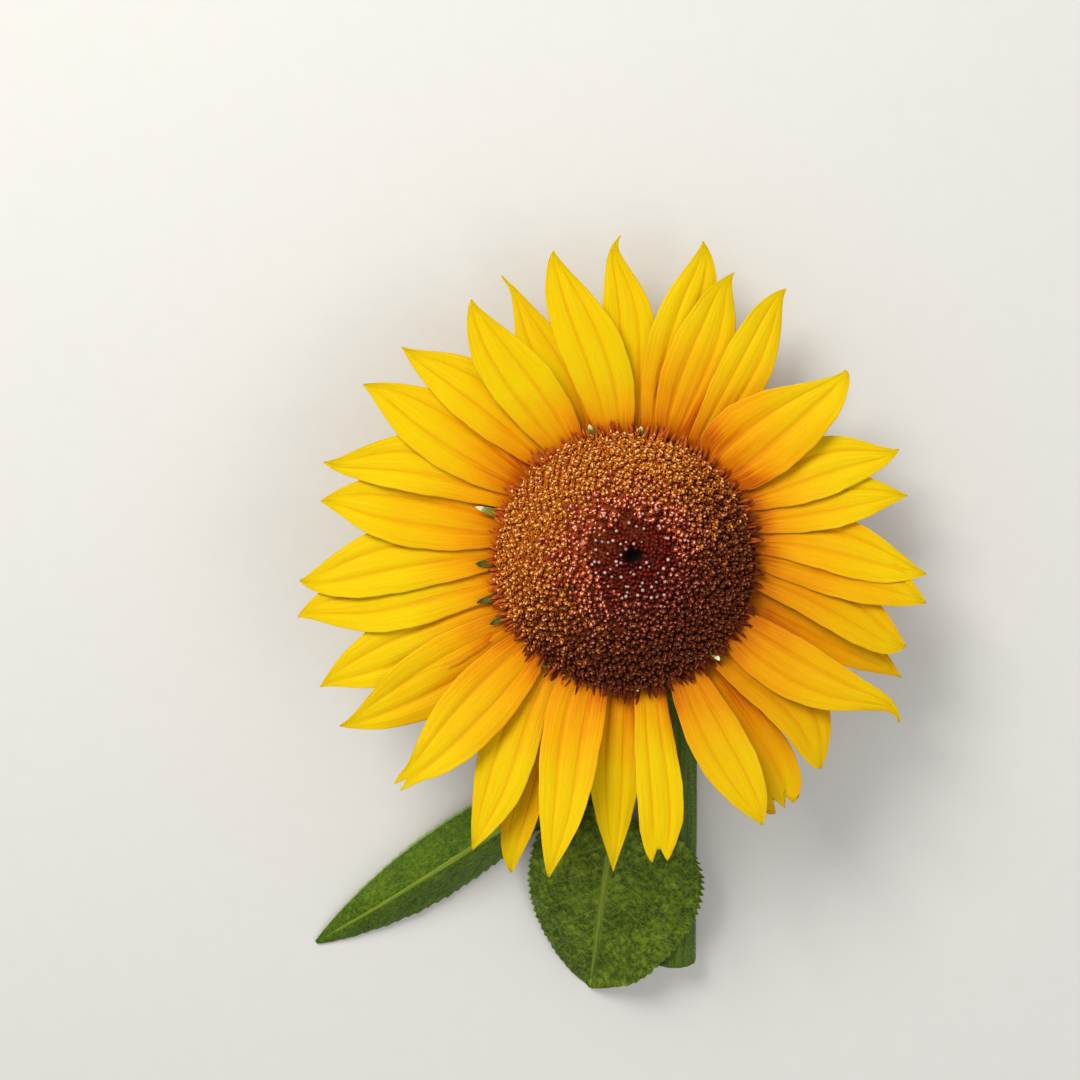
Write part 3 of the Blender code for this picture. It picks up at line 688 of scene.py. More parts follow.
# Azimuth of the tip, reach, full width, lie and what sets this petal apart. A petal lies over or under both
# neighbours, or shingled: left and right say which way it is rolled, and level that it isn't.
# bow: sideways bend of the middle. hook: sideways bend just before the tip. lift: rise of the tip.
# teeth: places across a ragged end, with bite its depth. taper: low for a blunt end, one for each side if
# they differ. end: width of the end. thread: sideways bend of a thread-like tip. warm: how far the orange
# reaches, its own colour and in part painted shade, as it is larger on petals that lie in shade. dim: how
# much painted shade darkens it. fold: which margin turns up, and how far. root: degrees by which its
# root is turned. base: low for a broad shoulder.
PETALS = [
    (12.5, 0.133, 0.027, "left", dict(root=7.8, bow=0.001, warm=0.24)),
    (22, 0.1355, 0.029, "left", dict(root=3, hook=-0.002, warm=0.22)),
    (41, 0.1325, 0.0390, "over", dict(root=3.0, base=0.38, taper=(2.0, 0.75), end=0.002, warm=0.27)),
    (60.3, 0.1455, 0.0245, "right", dict(root=1.3, base=0.85, taper=(0.9, 1.35), hook=0.001, warm=0.22)),
    (70.5, 0.1420, 0.029, "right", dict(root=3, hook=0.002, lift=0.003, warm=0.26)),
    (77.5, 0.1525, 0.028, "right", dict(root=-2, hook=-0.002, taper=1.05, lift=-0.0015, warm=0.22)),
    (92.3, 0.1515, 0.026, "level", dict(root=-1.5, hook=0.0045, taper=1.4, warm=0.16)),
    (104.9, 0.1480, 0.0290, "over", dict(root=-5.4, base=0.7, taper=(0.85, 1.5), bow=0.001, warm=0.12)),
    (115, 0.1480, 0.027, "under", dict(root=-1.8, thread=0.0015, taper=2.1, end=0.0012, warm=0.14)),
    (122.4, 0.1425, 0.0285, "over", dict(root=-4.4, base=0.7, taper=(0.85, 1.5), bow=0.003, warm=0.15)),
    (137.9, 0.1475, 0.031, "right", dict(root=-6, hook=0.001, taper=1.25, warm=0.22)),
    (147.6, 0.1515, 0.033, "right", dict(root=-4.5, hook=-0.002, taper=(1.0, 1.4), warm=0.24)),
    (163.1, 0.1530, 0.031, "right", dict(root=-8.4, bow=-0.002, hook=0.002, warm=0.22)),
    (170, 0.150, 0.034, "right", dict(root=-5.5, hook=-0.001, taper=1.05, warm=0.26)),
    (184.2, 0.158, 0.033, "right", dict(root=-4, hook=0.002, taper=1.0, warm=0.20)),
    (190.2, 0.161, 0.033, "right", dict(root=-4.2, hook=-0.002, taper=1.05, warm=0.18)),
    (202.6, 0.160, 0.034, "level", dict(root=0.6, hook=-0.001, taper=1.15, warm=0.22)),
    (210, 0.160, 0.033, "left", dict(root=-0.6, taper=(0.95, 1.6), bow=0.001, warm=0.28)),
    (224.2, 0.155, 0.0300, "over", dict(
        root=-3.5, taper=(1.2, 1.7), bow=0.002, end=0.008, teeth=(-0.5, 0.55), bite=0.006, warm=0.26,
    )),
    (241.2, 0.1580, 0.0285, "right", dict(root=-7.5, taper=(1.0, 1.35), hook=-0.001, bow=0.0045, warm=0.20)),
    (249, 0.162, 0.0185, "under", dict(root=-8.5, taper=0.75, hook=-0.0015, bow=0.002, warm=0.33, dim=0.10)),
    (255, 0.155, 0.0265, "over", dict(
        root=-8.5, base=0.42, taper=(1.2, 0.95), bow=0.003, fold=0.10, warm=0.22,
    )),
    (266.5, 0.151, 0.0235, "under", dict(root=-1.2, base=0.6, taper=1.3, warm=0.17)),
    (275.2, 0.145, 0.0195, "left", dict(
        root=-2.0, taper=0.8, end=0.011, teeth=(-0.8, 0.55), bite=0.006, warm=0.15,
    )),
    (295.5, 0.139, 0.026, "over", dict(root=3.9, taper=0.95, hook=0.001, lift=0.002, warm=0.24, dim=0.22)),
    (301, 0.141, 0.029, "under", dict(
        taper=0.6, end=0.012, teeth=(-0.8, 0.1, 0.9), bite=0.008, warm=0.37, dim=0.34,
    )),
    (311.5, 0.134, 0.028, "left", dict(taper=0.75, bow=0.0095, warm=0.33, dim=0.38)),
    (328, 0.146, 0.0265, "over", dict(
        base=0.56, taper=1.4, hook=0.005, bow=-0.0015, end=0.0016, warm=0.28, dim=0.22,
    )),
    (335.8, 0.141, 0.024, "under", dict(root=6, warm=0.38, dim=0.24)),
    (341.7, 0.136, 0.028, "left", dict(root=9, taper=0.85, hook=-0.002, warm=0.34, dim=0.22)),
    (351, 0.140, 0.030, "left", dict(root=11.8, taper=1.0, warm=0.33, dim=0.12)),
    (356.6, 0.139, 0.029, "left", dict(root=8, taper=(1.5, 1.0), bow=-0.001, warm=0.27)),
]


def petal_roots():
    """Azimuth of each root, pulled towards the middle between its neighbours' tips."""
    tips = [petal[0] for petal in PETALS]
    around = [tips[-1] - 360, *tips, tips[0] + 360]
    roots = []
    for index, tip in enumerate(tips):
        middle = (around[index] + around[index + 2]) / 2
        roots.append(tip + ROOT_EVENING * (middle - tip) + PETALS[index][-1].get("root", 0.0))
    return roots


def petal_half_width(share, width, base, taper, end):
    """Half width along a petal: soon broad above the claw, then drawn in to the tip."""
    whole = np.linspace(0.0, 1.0, 200).reshape((-1,) + (1,) * (share.ndim - 1))
    shape, greatest = [place**base * (1 - place**PETAL_POINT) ** taper for place in (share, whole)]
    claw = CLAW_HALF_WIDTH * (1 - share) ** 4
    return width / 2 * shape / greatest.max(axis=0) + claw + end / 2 * share**3


def smooth_step(value, low, high):
    share = np.clip((value - low) / (high - low), 0.0, 1.0)
    return share * share * (3 - 2 * share)


def petal_points(root, tip, reach, width, lie, traits, draw):
    """One petal in the head's frame, with its shares across and along and what its colour follows."""
    trait = traits.get
    foot_radius, blade_height, rise_root, rise_tip = PETAL_LIES.get(lie, PETAL_LIES["shingled"])
    roll = math.radians({"left": -SHINGLE_ROLL, "right": SHINGLE_ROLL}.get(lie, 0.0))
    taper = trait("taper", PETAL_TAPER)
    run = reach - foot_radius
    share, side = sheet_grid(PETAL_ROWS, PETAL_COLUMNS + 1)
    share = share**1.1
    wave = draw.uniform(0.0, 6.28, 4)
    if isinstance(taper, tuple):
        taper = np.where(side[:1] > 0, taper[0], np.where(side[:1] < 0, taper[1], sum(taper) / 2))
    half = petal_half_width(share, width, trait("base", PETAL_BASE), taper, trait("end", PETAL_TIP_WIDTH))
    ragged = 1 + 0.010 * np.sin(share * 27.0 + wave[0]) + 0.005 * np.sin(share * 57.0 + wave[1])
    half = half * np.where(side == 0, 1.0, ragged)
    near_tooth = np.min([np.abs(side - tooth) for tooth in trait("teeth", (0.0,))], axis=0)
    bite = np.clip(near_tooth / 0.5, 0.0, 1.0) ** 1.2 * trait("bite", 0.0) / run
    level = foot_radius + run * (share - bite * smooth_step(share, 0.72, 1.0))
    height = blade_height + slope_curve(run, rise_root, rise_tip, share)
    height = height + half * (side * math.sin(roll) + PETAL_CUP * side**2)
    # two strong folds and the soft ridges between them
    blade = smooth_step(share, 0.02, 0.22) * (1 - smooth_step(share, 0.80, 1.0))
    relief = RIDGE_HEIGHT * np.cos(side * 3 * math.pi)
    groove = np.zeros_like(side)
    for place in [fold + draw.uniform(-0.05, 0.05) for fold in FOLDS]:
        crease = hump(side - place, 0.06)
        relief = relief - FOLD_DEPTH * crease
        groove = np.maximum(groove, crease * blade)
    for place in VEINS:
        relief = relief - VEIN_DEPTH * hump(side - place - 0.04 * math.sin(wave[2]), 0.06)
    height = height + relief * blade * half / RELIEF_HALF_WIDTH
    height = height + MARGIN_WAVE * np.sin(share * 11.0 + wave[2] + side * 1.2) * np.abs(side) ** 3 * blade
    height = height + (draw.uniform(-0.0010, 0.0016) + trait("lift", 0.0)) * share**3
    turned_up = np.clip(side * np.sign(trait("fold", 0.0)) - 0.35, 0.0, 1.0) / 0.65
    height = height + half * abs(trait("fold", 0.0)) * turned_up**2 * smooth_step(share, 0.25, 0.6)
    offset = half * side * math.cos(roll) + trait("bow", 0.0) * np.sin(share**1.5 * math.pi)
    offset = offset + trait("hook", 0.0) * 4.0 * share**6 * (1 - share**6)
    offset = offset + draw.uniform(-0.0008, 0.0008) * np.sin(share * math.pi * 2)
    drawn_out = smooth_step(share, 0.55, 0.9) * (1 - smooth_step(share, 0.9, 1.0))
    offset = offset - trait("thread", 0.0) * drawn_out
    sweep = np.radians(root + (tip - root) * share**1.3)
    x = level * np.cos(sweep) - offset * np.sin(sweep)
    y = level * np.sin(sweep) + offset * np.cos(sweep)
    points = np.stack([x, y, height], axis=-1)
    # the claw stands up from the receptacle under the blade's first row
    first = points[0]
    middle = first.mean(axis=0)
    outward = first[:, :2] / np.linalg.norm(first[:, :2], axis=1, keepdims=True)
    feet = []
    for rise in np.arange(PETAL_FOOT_ROWS) / PETAL_FOOT_ROWS:
        foot = first.copy()
        foot[:, :2] = middle[:2] + (first[:, :2] - middle[:2]) * (1 - CLAW_PINCH * (1 - rise) ** 1.5)
        foot[:, :2] -= outward * CLAW_STEP * (1 - rise) ** 2
        foot[:, 2] = GAP * 0.5 + (middle[2] + (first[:, 2] - middle[2]) * rise - GAP * 0.5) * rise
        feet.append(foot)
    points = np.concatenate([feet, points])
    along, groove = [np.pad(values, ((PETAL_FOOT_ROWS, 0), (0, 0))) for values in (share, groove)]
    over = np.broadcast_to(side[:1], along.shape)
    # painted shade: where a margin lies under a neighbour it is pushed towards orange, most for a petal that
    # lies under both neighbours
    covered = {"left": np.clip(over, 0, 1), "right": np.clip(-over, 0, 1)}.get(lie, np.abs(over))
    covered = {"over": 0.3, "under": 1.1}.get(lie, 0.9) * covered**1.5 * (1 - 0.5 * along)
    # painted shade: each petal's foot is darker on the side of the ring away from the light, and dim darkens
    # whole petals that lie in shade, most at the root
    painted_foot_shade = 0.31 - 0.21 * math.cos(math.radians(root - LIGHT_AZIMUTH))
    shade = trait("dim", 0.0) * (1 - 0.4 * along) + painted_foot_shade * (1 - smooth_step(along, 0.0, 0.20))
    kept = dict(ripe_less_shade=along / trait("warm", 0.3) - covered, groove=groove, shade=shade)
    return points, ((over + 1) / 2, along), kept


def petal_yellow():
    soft = dict(Subsurface_Weight=0.10, Subsurface_Scale=0.0015, Specular_IOR_Level=0.05)
    petal = Finish("petal yellow", 0.5, **soft)
    streaks = petal.streaks(30.0, 1.5, 4.0, 0.6, 0.2)
    fine = petal.streaks(95.0, 2.0, 2.0)
    clouds = petal.grain(38.0, 3.0)
    # how far towards clear yellow, less the painted shade where neighbours cover the petal, stirred by
    # streaks and clouds
    ripe_less_shade = petal.stirred(petal.stirred(petal.kept("ripe_less_shade"), streaks, 0.5, 0.25, 0.75), clouds, 0.3)
    tone = petal.ramp(
        petal.ranged(ripe_less_shade, 0.0, 2.8),
        (0.00, (0.47, 0.080, 0.001)),
        (0.10, (0.62, 0.155, 0.001)),
        (0.24, (0.73, 0.270, 0.0010)),
        (0.45, (0.78, 0.370, 0.0012)),
        (0.72, (0.78, 0.465, 0.0015)),
        (1.00, (0.77, 0.540, 0.0015)),
    )
    off_middle = petal.maths("ABSOLUTE", petal.maths("SUBTRACT", petal.share("X"), 0.5))
    tone = petal.tint(tone, (0.72, 0.27, 0.0015), fine, 0.50, 0.72, 0.0, 0.38)
    # painted shade: deeper orange down the two fold creases
    tone = petal.tint(tone, (0.66, 0.23, 0.0015), petal.kept("groove"), 0.2, 1.0, 0.0, 0.45)
    # painted highlight: a paler line along both margins, for the glow at the petal's edges
    tone = petal.tint(tone, (0.80, 0.56, 0.03), off_middle, 0.475, 0.497, 0.0, 0.4)
    # painted shade: the kept shade mixes a deep orange into the colour
    tone = petal.tint(tone, (0.38, 0.12, 0.0008), petal.kept("shade"))
    return petal.finished(tone, (streaks, 0.42, 0.60), (streaks, 0.00035), (fine, 0.00018))


petal_finish = petal_yellow()
petal_draw = np.random.default_rng(29)
for index, (petal, root) in enumerate(zip(PETALS, petal_roots()), start=1):
    points, shares, kept = petal_points(root, *petal, petal_draw)
    blade_mesh = mesh_from(f"petal_{index:02d}", in_world(points), shares)
    for label, values in kept.items():
        keep(blade_mesh, label, values)
    nodes = (f"ray_{index:02d}",)
    add_piece(f"petal_{index:02d}", blade_mesh, petal_finish, "ray", *nodes, thickness=PETAL_THICKNESS)

# ---------------------------------------------------------------- disc
# The domed bed of some two and a half thousand florets, grown along the golden angle: dark buds and a few
# pale ones in the hollow middle, open ones with curled tips round them, and pointed ones at the rim. Papery
# chaff and a low ring of green pales stand between the florets and the petals' feet.

DISC_RADIUS = 0.0592
DISC_RIM_HEIGHT = 0.0120
DISC_CROWN_RADIUS = 0.0380
DISC_CROWN_HEIGHT = 0.0170
DISC_DIMPLE = 0.0035
DISC_FOOT_RADIUS = 0.0555
BED_RADIUS = 0.0600
DISC_INNER_FALL = DISC_DIMPLE / DISC_CROWN_RADIUS**2
DISC_OUTER_FALL = (DISC_CROWN_HEIGHT - DISC_RIM_HEIGHT) / (BED_RADIUS - DISC_CROWN_RADIUS) ** 2
FLORET_HEIGHT = 0.0046
FLORETS = 2450
GOLDEN_ANGLE = math.radians(137.50776)
LIGHT_SIDE = (-0.62, 0.78)
# the bed leans to one side and down, so its rim lies off its middle
DISC_SHIFT = (-0.0043, -0.0024)
RING_FRAY = 0.22


def disc_height(radius):
    """Height of the floret tops at this distance from the disc's centre."""
    off = radius - DISC_CROWN_RADIUS
    return DISC_CROWN_HEIGHT - np.where(off < 0, DISC_INNER_FALL, DISC_OUTER_FALL) * off**2


def floret_growth():
    """Copies of one floret along the golden angle between two radii, picked by tone, square to the dome. The
    tone is mostly how far towards the light a floret lies, so picking colours by it paints light and shade.
    """
    floret = Growth(
        "florets",
        "Radius From_Radius To_Radius Crown_Radius Crown_Height Inner_Fall Outer_Fall Sink Lean_Out "
        "Tilt_Spread Chance Unevenness Edge_Spread Rim_Shift_X Rim_Shift_Y Tone_From Tone_To Tone_Spread "
        "Light_X Light_Y Size",
        Count="Int",
        Floret="Object",
    )
    give, maths = floret.given, floret.maths

    def times(first, second):
        return maths("MULTIPLY", first, second)

    def spread(shift, label):
        """Up to this much either way."""
        return times(floret.random(-1.0, 1.0, shift), give[label])

    def between(value, low, high):
        return maths("SUBTRACT", maths("LESS_THAN", value, high), maths("LESS_THAN", value, low))

    index = floret.add("GeometryNodeInputIndex").outputs[0]
    turned = times(index, GOLDEN_ANGLE)
    share = maths("DIVIDE", maths("ADD", index, 0.5), give["Count"])
    radius = maths("ADD", times(maths("SQRT", share), give["Radius"]), spread(0, "Unevenness"))
    outward = maths("DIVIDE", radius, give["Radius"])
    off = maths("SUBTRACT", radius, give["Crown Radius"])
    outside = maths("GREATER_THAN", off, 0.0)
    inside = maths("SUBTRACT", 1.0, outside)
    fall = maths("ADD", times(outside, give["Outer Fall"]), times(inside, give["Inner Fall"]))
    height = maths("SUBTRACT", give["Crown Height"], times(fall, times(off, off)))
    x, y = times(radius, maths("COSINE", turned)), times(radius, maths("SINE", turned))
    shifted = times(outward, outward)
    place = floret.add(
        "ShaderNodeCombineXYZ",
        maths("MULTIPLY_ADD", shifted, give["Rim Shift X"], x),
        maths("MULTIPLY_ADD", shifted, give["Rim Shift Y"], y),
        maths("SUBTRACT", height, give["Sink"]),
    )
    # tone: how far towards the light a floret lies, with a random spread; choosing colours by it paints light
    # and shade over the disc
    lit = maths("ADD", times(x, give["Light X"]), times(y, give["Light Y"]))
    tone = maths("MULTIPLY_ADD", maths("DIVIDE", lit, give["Radius"]), 0.5, 0.5)
    tone = maths("ADD", tone, spread(4, "Tone Spread"))
    ring = times(radius, maths("ADD", spread(6, "Edge Spread"), 1.0))
    in_ring = between(ring, give["From Radius"], give["To Radius"])
    in_tone = between(tone, give["Tone From"], give["Tone To"])
    lucky = maths("LESS_THAN", floret.random(0.0, 1.0, 7), give["Chance"])
    slope = maths("ARCTANGENT", times(times(fall, 2.0), off))
    tilt = maths("ADD", maths("ADD", slope, times(give["Lean Out"], outward)), spread(1, "Tilt Spread"))
    dots = floret.add("GeometryNodePoints", Count=give["Count"]).outputs[0]
    floret.plant(
        floret.add("GeometryNodeSetPosition", Geometry=dots, Position=place.outputs[0]).outputs[0],
        times(times(in_ring, in_tone), lucky),
        floret.add("GeometryNodeObjectInfo", As_Instance=True, Object=give["Floret"]).outputs["Geometry"],
        floret.turned(spread(2, "Tilt Spread"), tilt, turned),
        floret.turned(0.0, 0.0, floret.random(0.0, 6.283, 3)),
        times(floret.random(0.75, 1.18, 5), give["Size"]),
    )
    return floret


FLORET_PROFILES = {
    # sides, then the radius and height of each ring from the foot up
    "tube": (5, (0.00062, 0.0), (0.00078, 0.0022), (0.00095, 0.0034)),
    "column": (5, (0.00050, 0.0028), (0.00054, 0.0042), (0.00030, 0.0048)),
    "bud": (6, (0.00060, 0.0), (0.00088, 0.0016), (0.00080, 0.0030), (0.00045, 0.0039), (0.00012, 0.0042)),
    "knob": (6, (0.00018, 0.0034), (0.0005, 0.0037), (0.00058, 0.0042), (0.00032, 0.0046), (0.00008, 0.0047)),
    "spike": (5, (0.00050, 0.0), (0.00068, 0.0024), (0.00062, 0.0040), (0.00036, 0.0054), (0.00008, 0.0066)),
}
LOBES = 5
# how far out, how far aside and how high each corner of a lobe is
LOBE = ((0.00072, 0.00052, 0.0032), (0.00072, -0.00052, 0.0032), (0.00135, 0, 0.0040), (0.00060, 0, 0.0038))
# how far out, how high, how wide and how far turned over each ring of a curled tip is
CURL = (
    (-0.00020, 0.0038, 0.00018, 0.0),
    (-0.00006, 0.0047, 0.00036, 0.3),
    (0.00036, 0.00512, 0.00044, 1.2),
    (0.00084, 0.0048, 0.00040, 2.1),
    (0.00098, 0.0042, 0.00012, 2.8),
)


def spun(name, sides, *profile):
    """A floret part turned from (radius, height) pairs, closed at both ends."""
    turn = full_turn(sides)
    return closed_mesh(name, np.array([ring_points(radius, turn, height) for radius, height in profile]))


def add_lobes(mesh):
    """Spreads pointed lobes round the mouth of an open floret's tube."""
    shape = bmesh.new()
    shape.from_mesh(mesh)
    for index in range(LOBES):
        azimuth = 360.0 * (index + 0.5) / LOBES
        out, beside = heading(azimuth), heading(azimuth + 90)
        places = [out * reach + beside * aside + Vector((0.0, 0.0, high)) for reach, aside, high in LOBE]
        corners = [shape.verts.new(place) for place in places]
        for face in ((1, 0, 2), (0, 3, 2), (3, 1, 2), (0, 1, 3)):
            shape.faces.new([corners[corner] for corner in face])
    shape.to_mesh(mesh)
    shape.free()
    face_out(mesh)


def curled_tip():
    """The tip at the top of an open floret, curled right over into a small knobbed hook."""
    turn = full_turn(5)
    rows = []
    for out, high, radius, lean in CURL:
        flat = radius * np.cos(turn)
        ring = [out + flat * math.cos(lean), radius * np.sin(turn), high - flat * math.sin(lean)]
        rows.append(np.stack(ring, axis=-1))
    return closed_mesh("tip", np.array(rows))


florets = floret_growth()
floret_meshes = {label: spun(label, *profile) for label, profile in FLORET_PROFILES.items()}
floret_meshes["tip"] = curled_tip()
add_lobes(floret_meshes["tube"])
templates = {label: bpy.data.objects.new(label, mesh) for label, mesh in floret_meshes.items()}


def floret_finish(name, dark, bright, roughness=0.6):
    made = Finish(name, roughness, Specular_IOR_Level=0.06)
    grain = made.grain(420.0)
    tone = made.ramp(grain, (0.34, dark), (0.66, bright))
    return made.finished(tone, (grain, roughness - 0.12, roughness + 0.12), (made.grain(1600.0), 0.00012))


def plant_florets(name, floret, material, radii, tones, **changes):
    """Grows one kind of floret within a range of tone, where tone stands for how lit a place is, and adds it
    to the flower.
    """
    settings = dict(
        Count=FLORETS, Radius=DISC_RADIUS, Crown_Radius=DISC_CROWN_RADIUS, Crown_Height=DISC_CROWN_HEIGHT,
        Inner_Fall=DISC_INNER_FALL, Outer_Fall=DISC_OUTER_FALL, Sink=FLORET_HEIGHT, Lean_Out=0.0,
        Tilt_Spread=0.18, Chance=1.1, Unevenness=0.0004, Edge_Spread=RING_FRAY, Tone_Spread=0.16,
        Size=1.0, Floret=templates[floret], Material=material, Seed=7,
    )
    pairs = dict(Rim_Shift_X=DISC_SHIFT, Light_X=LIGHT_SIDE, From_Radius=radii, Tone_From=tones)
    seconds = ("Rim_Shift_Y", "Light_Y", "To_Radius", "Tone_To")
    for (first, pair), second in zip(pairs.items(), seconds):
        settings[first], settings[second] = pair
    settings.update(changes)
    mesh = florets.grown(name, bpy.data.meshes.new("carrier"), **settings)
    mesh.transform(HEAD)
    add_piece(name, mesh, None, "disc", "disc")


def bed_finish():
    bed = Finish("disc bed", 0.8, Specular_IOR_Level=0.1)
    grain = bed.grain(500.0, 3.0)
    lit = bed.stirred(bed.kept("lit"), grain, 0.10)
    tone = bed.ramp(
        lit, (0.25, (0.035, 0.008, 0.004)), (0.50, (0.130, 0.025, 0.008)), (0.85, (0.44, 0.110, 0.020))
    )
    # painted shade: the bed in the central hollow is darkened almost to black
    tone = bed.tint(tone, (0.004, 0.002, 0.002), bed.kept("hollow"))
    return bed.finished(tone, (grain, 0.7, 0.9), (grain, 0.0005))


BED_SIDES = 110
BED_STEP = 0.0006
HOLLOW_RADIUS = 0.0045
HOLLOW_DEPTH = 0.0040
bed_radii = np.concatenate([[0.0001, 0.0006, 0.0012], np.linspace(0.002, BED_RADIUS, 30)])
bed_heights = disc_height(bed_radii) - FLORET_HEIGHT + BED_STEP
bed_heights = bed_heights - HOLLOW_DEPTH * hump(bed_radii, HOLLOW_RADIUS, 4)
bed_shifts = (bed_radii / DISC_RADIUS) ** 2
rim_bottom = DISC_RIM_HEIGHT - FLORET_HEIGHT - BED_STEP
foot_radii = [BED_RADIUS - 0.0004, DISC_FOOT_RADIUS, DISC_FOOT_RADIUS, POLE_RADIUS]
bed_radii = np.concatenate([bed_radii, foot_radii])[:, None]
bed_heights = np.concatenate([bed_heights, [rim_bottom, rim_bottom - BED_STEP, GAP, GAP]])[:, None]
bed_shifts = np.concatenate([bed_shifts, [bed_shifts[-1], 0.0, 0.0, 0.0]])[:, None, None]
bed_turn = full_turn(BED_SIDES)[None, :]
bed_points = ring_points(bed_radii, bed_turn, bed_heights)
bed_lit = 0.5 + 0.5 * bed_points[..., :2] @ np.array(LIGHT_SIDE) / DISC_RADIUS
bed_points[..., :2] += np.array(DISC_SHIFT) * bed_shifts
bed_mesh = closed_mesh("disc_bed", in_world(bed_points))
keep(bed_mesh, "lit", bed_lit)
# where the hollow's painted shade falls
keep(bed_mesh, "hollow", hump(bed_radii, 1.5 * HOLLOW_RADIUS, 4) + 0 * bed_turn)
add_piece("disc_bed", bed_mesh, bed_finish(), "disc", "disc")

RING_FROM = 0.0205
OPEN_FROM = 0.0350
RIM_FROM = 0.0572
RIM_TO = 0.0605
EVERYWHERE = (-9.0, 9.0)
OPEN = (OPEN_FROM, 1.0)
RING = (RING_FROM, OPEN_FROM)
BANDS = {
    # radii and tones between which a floret is of this band, then its tube and its tip, each dark and bright.
    # The tone is mostly how far a floret lies towards the light, so the bands within the open florets and
    # within the ring are lit and shaded copies of one floret: painted light and shade.
    "gold": (OPEN, (0.63, 9.0), (
        (0.64, 0.185, 0.012), (0.94, 0.370, 0.022), (0.78, 0.330, 0.080), (0.92, 0.590, 0.245),
    )),
    "tawny": (OPEN, (0.48, 0.63), (
        (0.45, 0.115, 0.010), (0.74, 0.240, 0.018), (0.66, 0.235, 0.065), (0.88, 0.455, 0.200),
    )),
    "brown": (OPEN, (0.32, 0.48), (
        (0.205, 0.044, 0.010), (0.36, 0.092, 0.017), (0.33, 0.094, 0.032), (0.56, 0.195, 0.080),
    )),
    "dark": (OPEN, (-9.0, 0.32), (
        (0.115, 0.022, 0.008), (0.200, 0.044, 0.014), (0.160, 0.042, 0.018), (0.28, 0.086, 0.037),
    )),
    "rose": (RING, (0.46, 9.0), (
        (0.42, 0.048, 0.018), (0.70, 0.130, 0.030), (0.86, 0.260, 0.130), (0.98, 0.560, 0.370),
    )),
    "plum": (RING, (-9.0, 0.46), (
        (0.130, 0.016, 0.009), (0.26, 0.036, 0.019), (0.28, 0.070, 0.042), (0.56, 0.185, 0.120),
    )),
}
for band, (band_radii, tones, colours) in BANDS.items():
    tube_skin = floret_finish(f"floret {band}", *colours[:2])
    tip_skin = floret_finish(f"floret tips {band}", *colours[2:], 0.5)
    plant_florets(f"floret_tubes_{band}", "tube", tube_skin, band_radii, tones, Lean_Out=0.12)
    plant_florets(f"floret_tips_{band}", "tip", tip_skin, band_radii, tones, Lean_Out=0.12, Chance=0.86)
# the anthers in a lit and a shaded copy: painted light and shade
for name, tones, *colours in (
    ("bright", (0.50, 9.0), (0.26, 0.050, 0.010), (0.52, 0.120, 0.018)),
    ("dark", (-9.0, 0.50), (0.060, 0.011, 0.005), (0.130, 0.024, 0.010)),
):
    skin = floret_finish(f"{name} anthers", *colours)
    plant_florets(f"floret_anthers_{name}", "column", skin, (RING_FROM, 1.0), tones, Lean_Out=0.12)
bud_skin = floret_finish("buds", (0.080, 0.006, 0.005), (0.34, 0.028, 0.018), 0.5)
plant_florets("floret_buds", "bud", bud_skin, (HOLLOW_RADIUS, RING_FROM), EVERYWHERE)
knob_skin = floret_finish("pale knobs", (0.40, 0.21, 0.18), (0.68, 0.47, 0.42), 0.5)
knob_radii = (HOLLOW_RADIUS, 0.0235)
plant_florets("floret_knobs", "knob", knob_skin, knob_radii, (0.0, 1.0), Chance=0.17, Size=1.35, Sink=0.0054)
for band, tones, *colours in (
    ("light", (0.55, 9.0), (0.32, 0.038, 0.008), (0.64, 0.160, 0.020)),
    ("middle", (0.36, 0.55), (0.22, 0.026, 0.006), (0.46, 0.090, 0.014)),
    ("shade", (-9.0, 0.36), (0.080, 0.011, 0.004), (0.18, 0.030, 0.010)),
):
    skin = floret_finish(f"rim {band}", *colours, 0.75)
    plant_florets(
        f"rim_florets_{band}", "spike", skin, (RIM_FROM, RIM_TO), tones,
        Count=2900, Radius=RIM_TO, Lean_Out=0.90, Tilt_Spread=0.34, Unevenness=0.0009, Size=1.22,
        Edge_Spread=0.0, Seed=23,
    )
for template in templates.values():
    bpy.data.objects.remove(template)

CHAFF = [
    # azimuth, how far out its root stands, length, width, rise, and whether its tip is bleached
    (86.5, 0.0600, 0.0062, 0.0030, 48.0, True),
    (108.5, 0.0610, 0.0075, 0.0032, 42.0, True),
    (162.6, 0.0635, 0.0125, 0.0036, 24.0, True),
    (182.8, 0.0625, 0.0088, 0.0038, 28.0, False),
    (196.5, 0.0620, 0.0118, 0.0036, 26.0, False),
    (205.5, 0.0620, 0.0096, 0.0034, 30.0, False),
    (215.8, 0.0620, 0.0116, 0.0040, 26.0, False),
    (231.0, 0.0600, 0.0060, 0.0030, 40.0, False),
    (309.7, 0.0585, 0.0085, 0.0036, 40.0, True),
    (272.0, 0.0585, 0.0052, 0.0026, 50.0, True),
]
PALES = 62
PALE_FOOT_RADIUS = 0.0560
PALE_HEIGHT = 0.0072
PALE_COLUMNS = 8
PALE_FLARE = 0.0012
PALE_BULGE = 0.0003
CHAFF_ROOT_SINK = 0.0050
CHAFF_CUP = 0.45
CHAFF_TIP_WIDTH = 0.00008
CHAFF_THICKNESS = 0.0003


def chaff_green(name, foot, middle, tip):
    chaff = Finish(name, 0.6, Specular_IOR_Level=0.2)
    grain = chaff.grain(900.0)
    along = chaff.stirred(chaff.share("Y"), grain, 0.12)
    tone = chaff.ramp(along, (0.25, foot), (0.62, middle), (0.80, tip))
    return chaff.finished(tone, (grain, 0.5, 0.7), (grain, 0.0002))


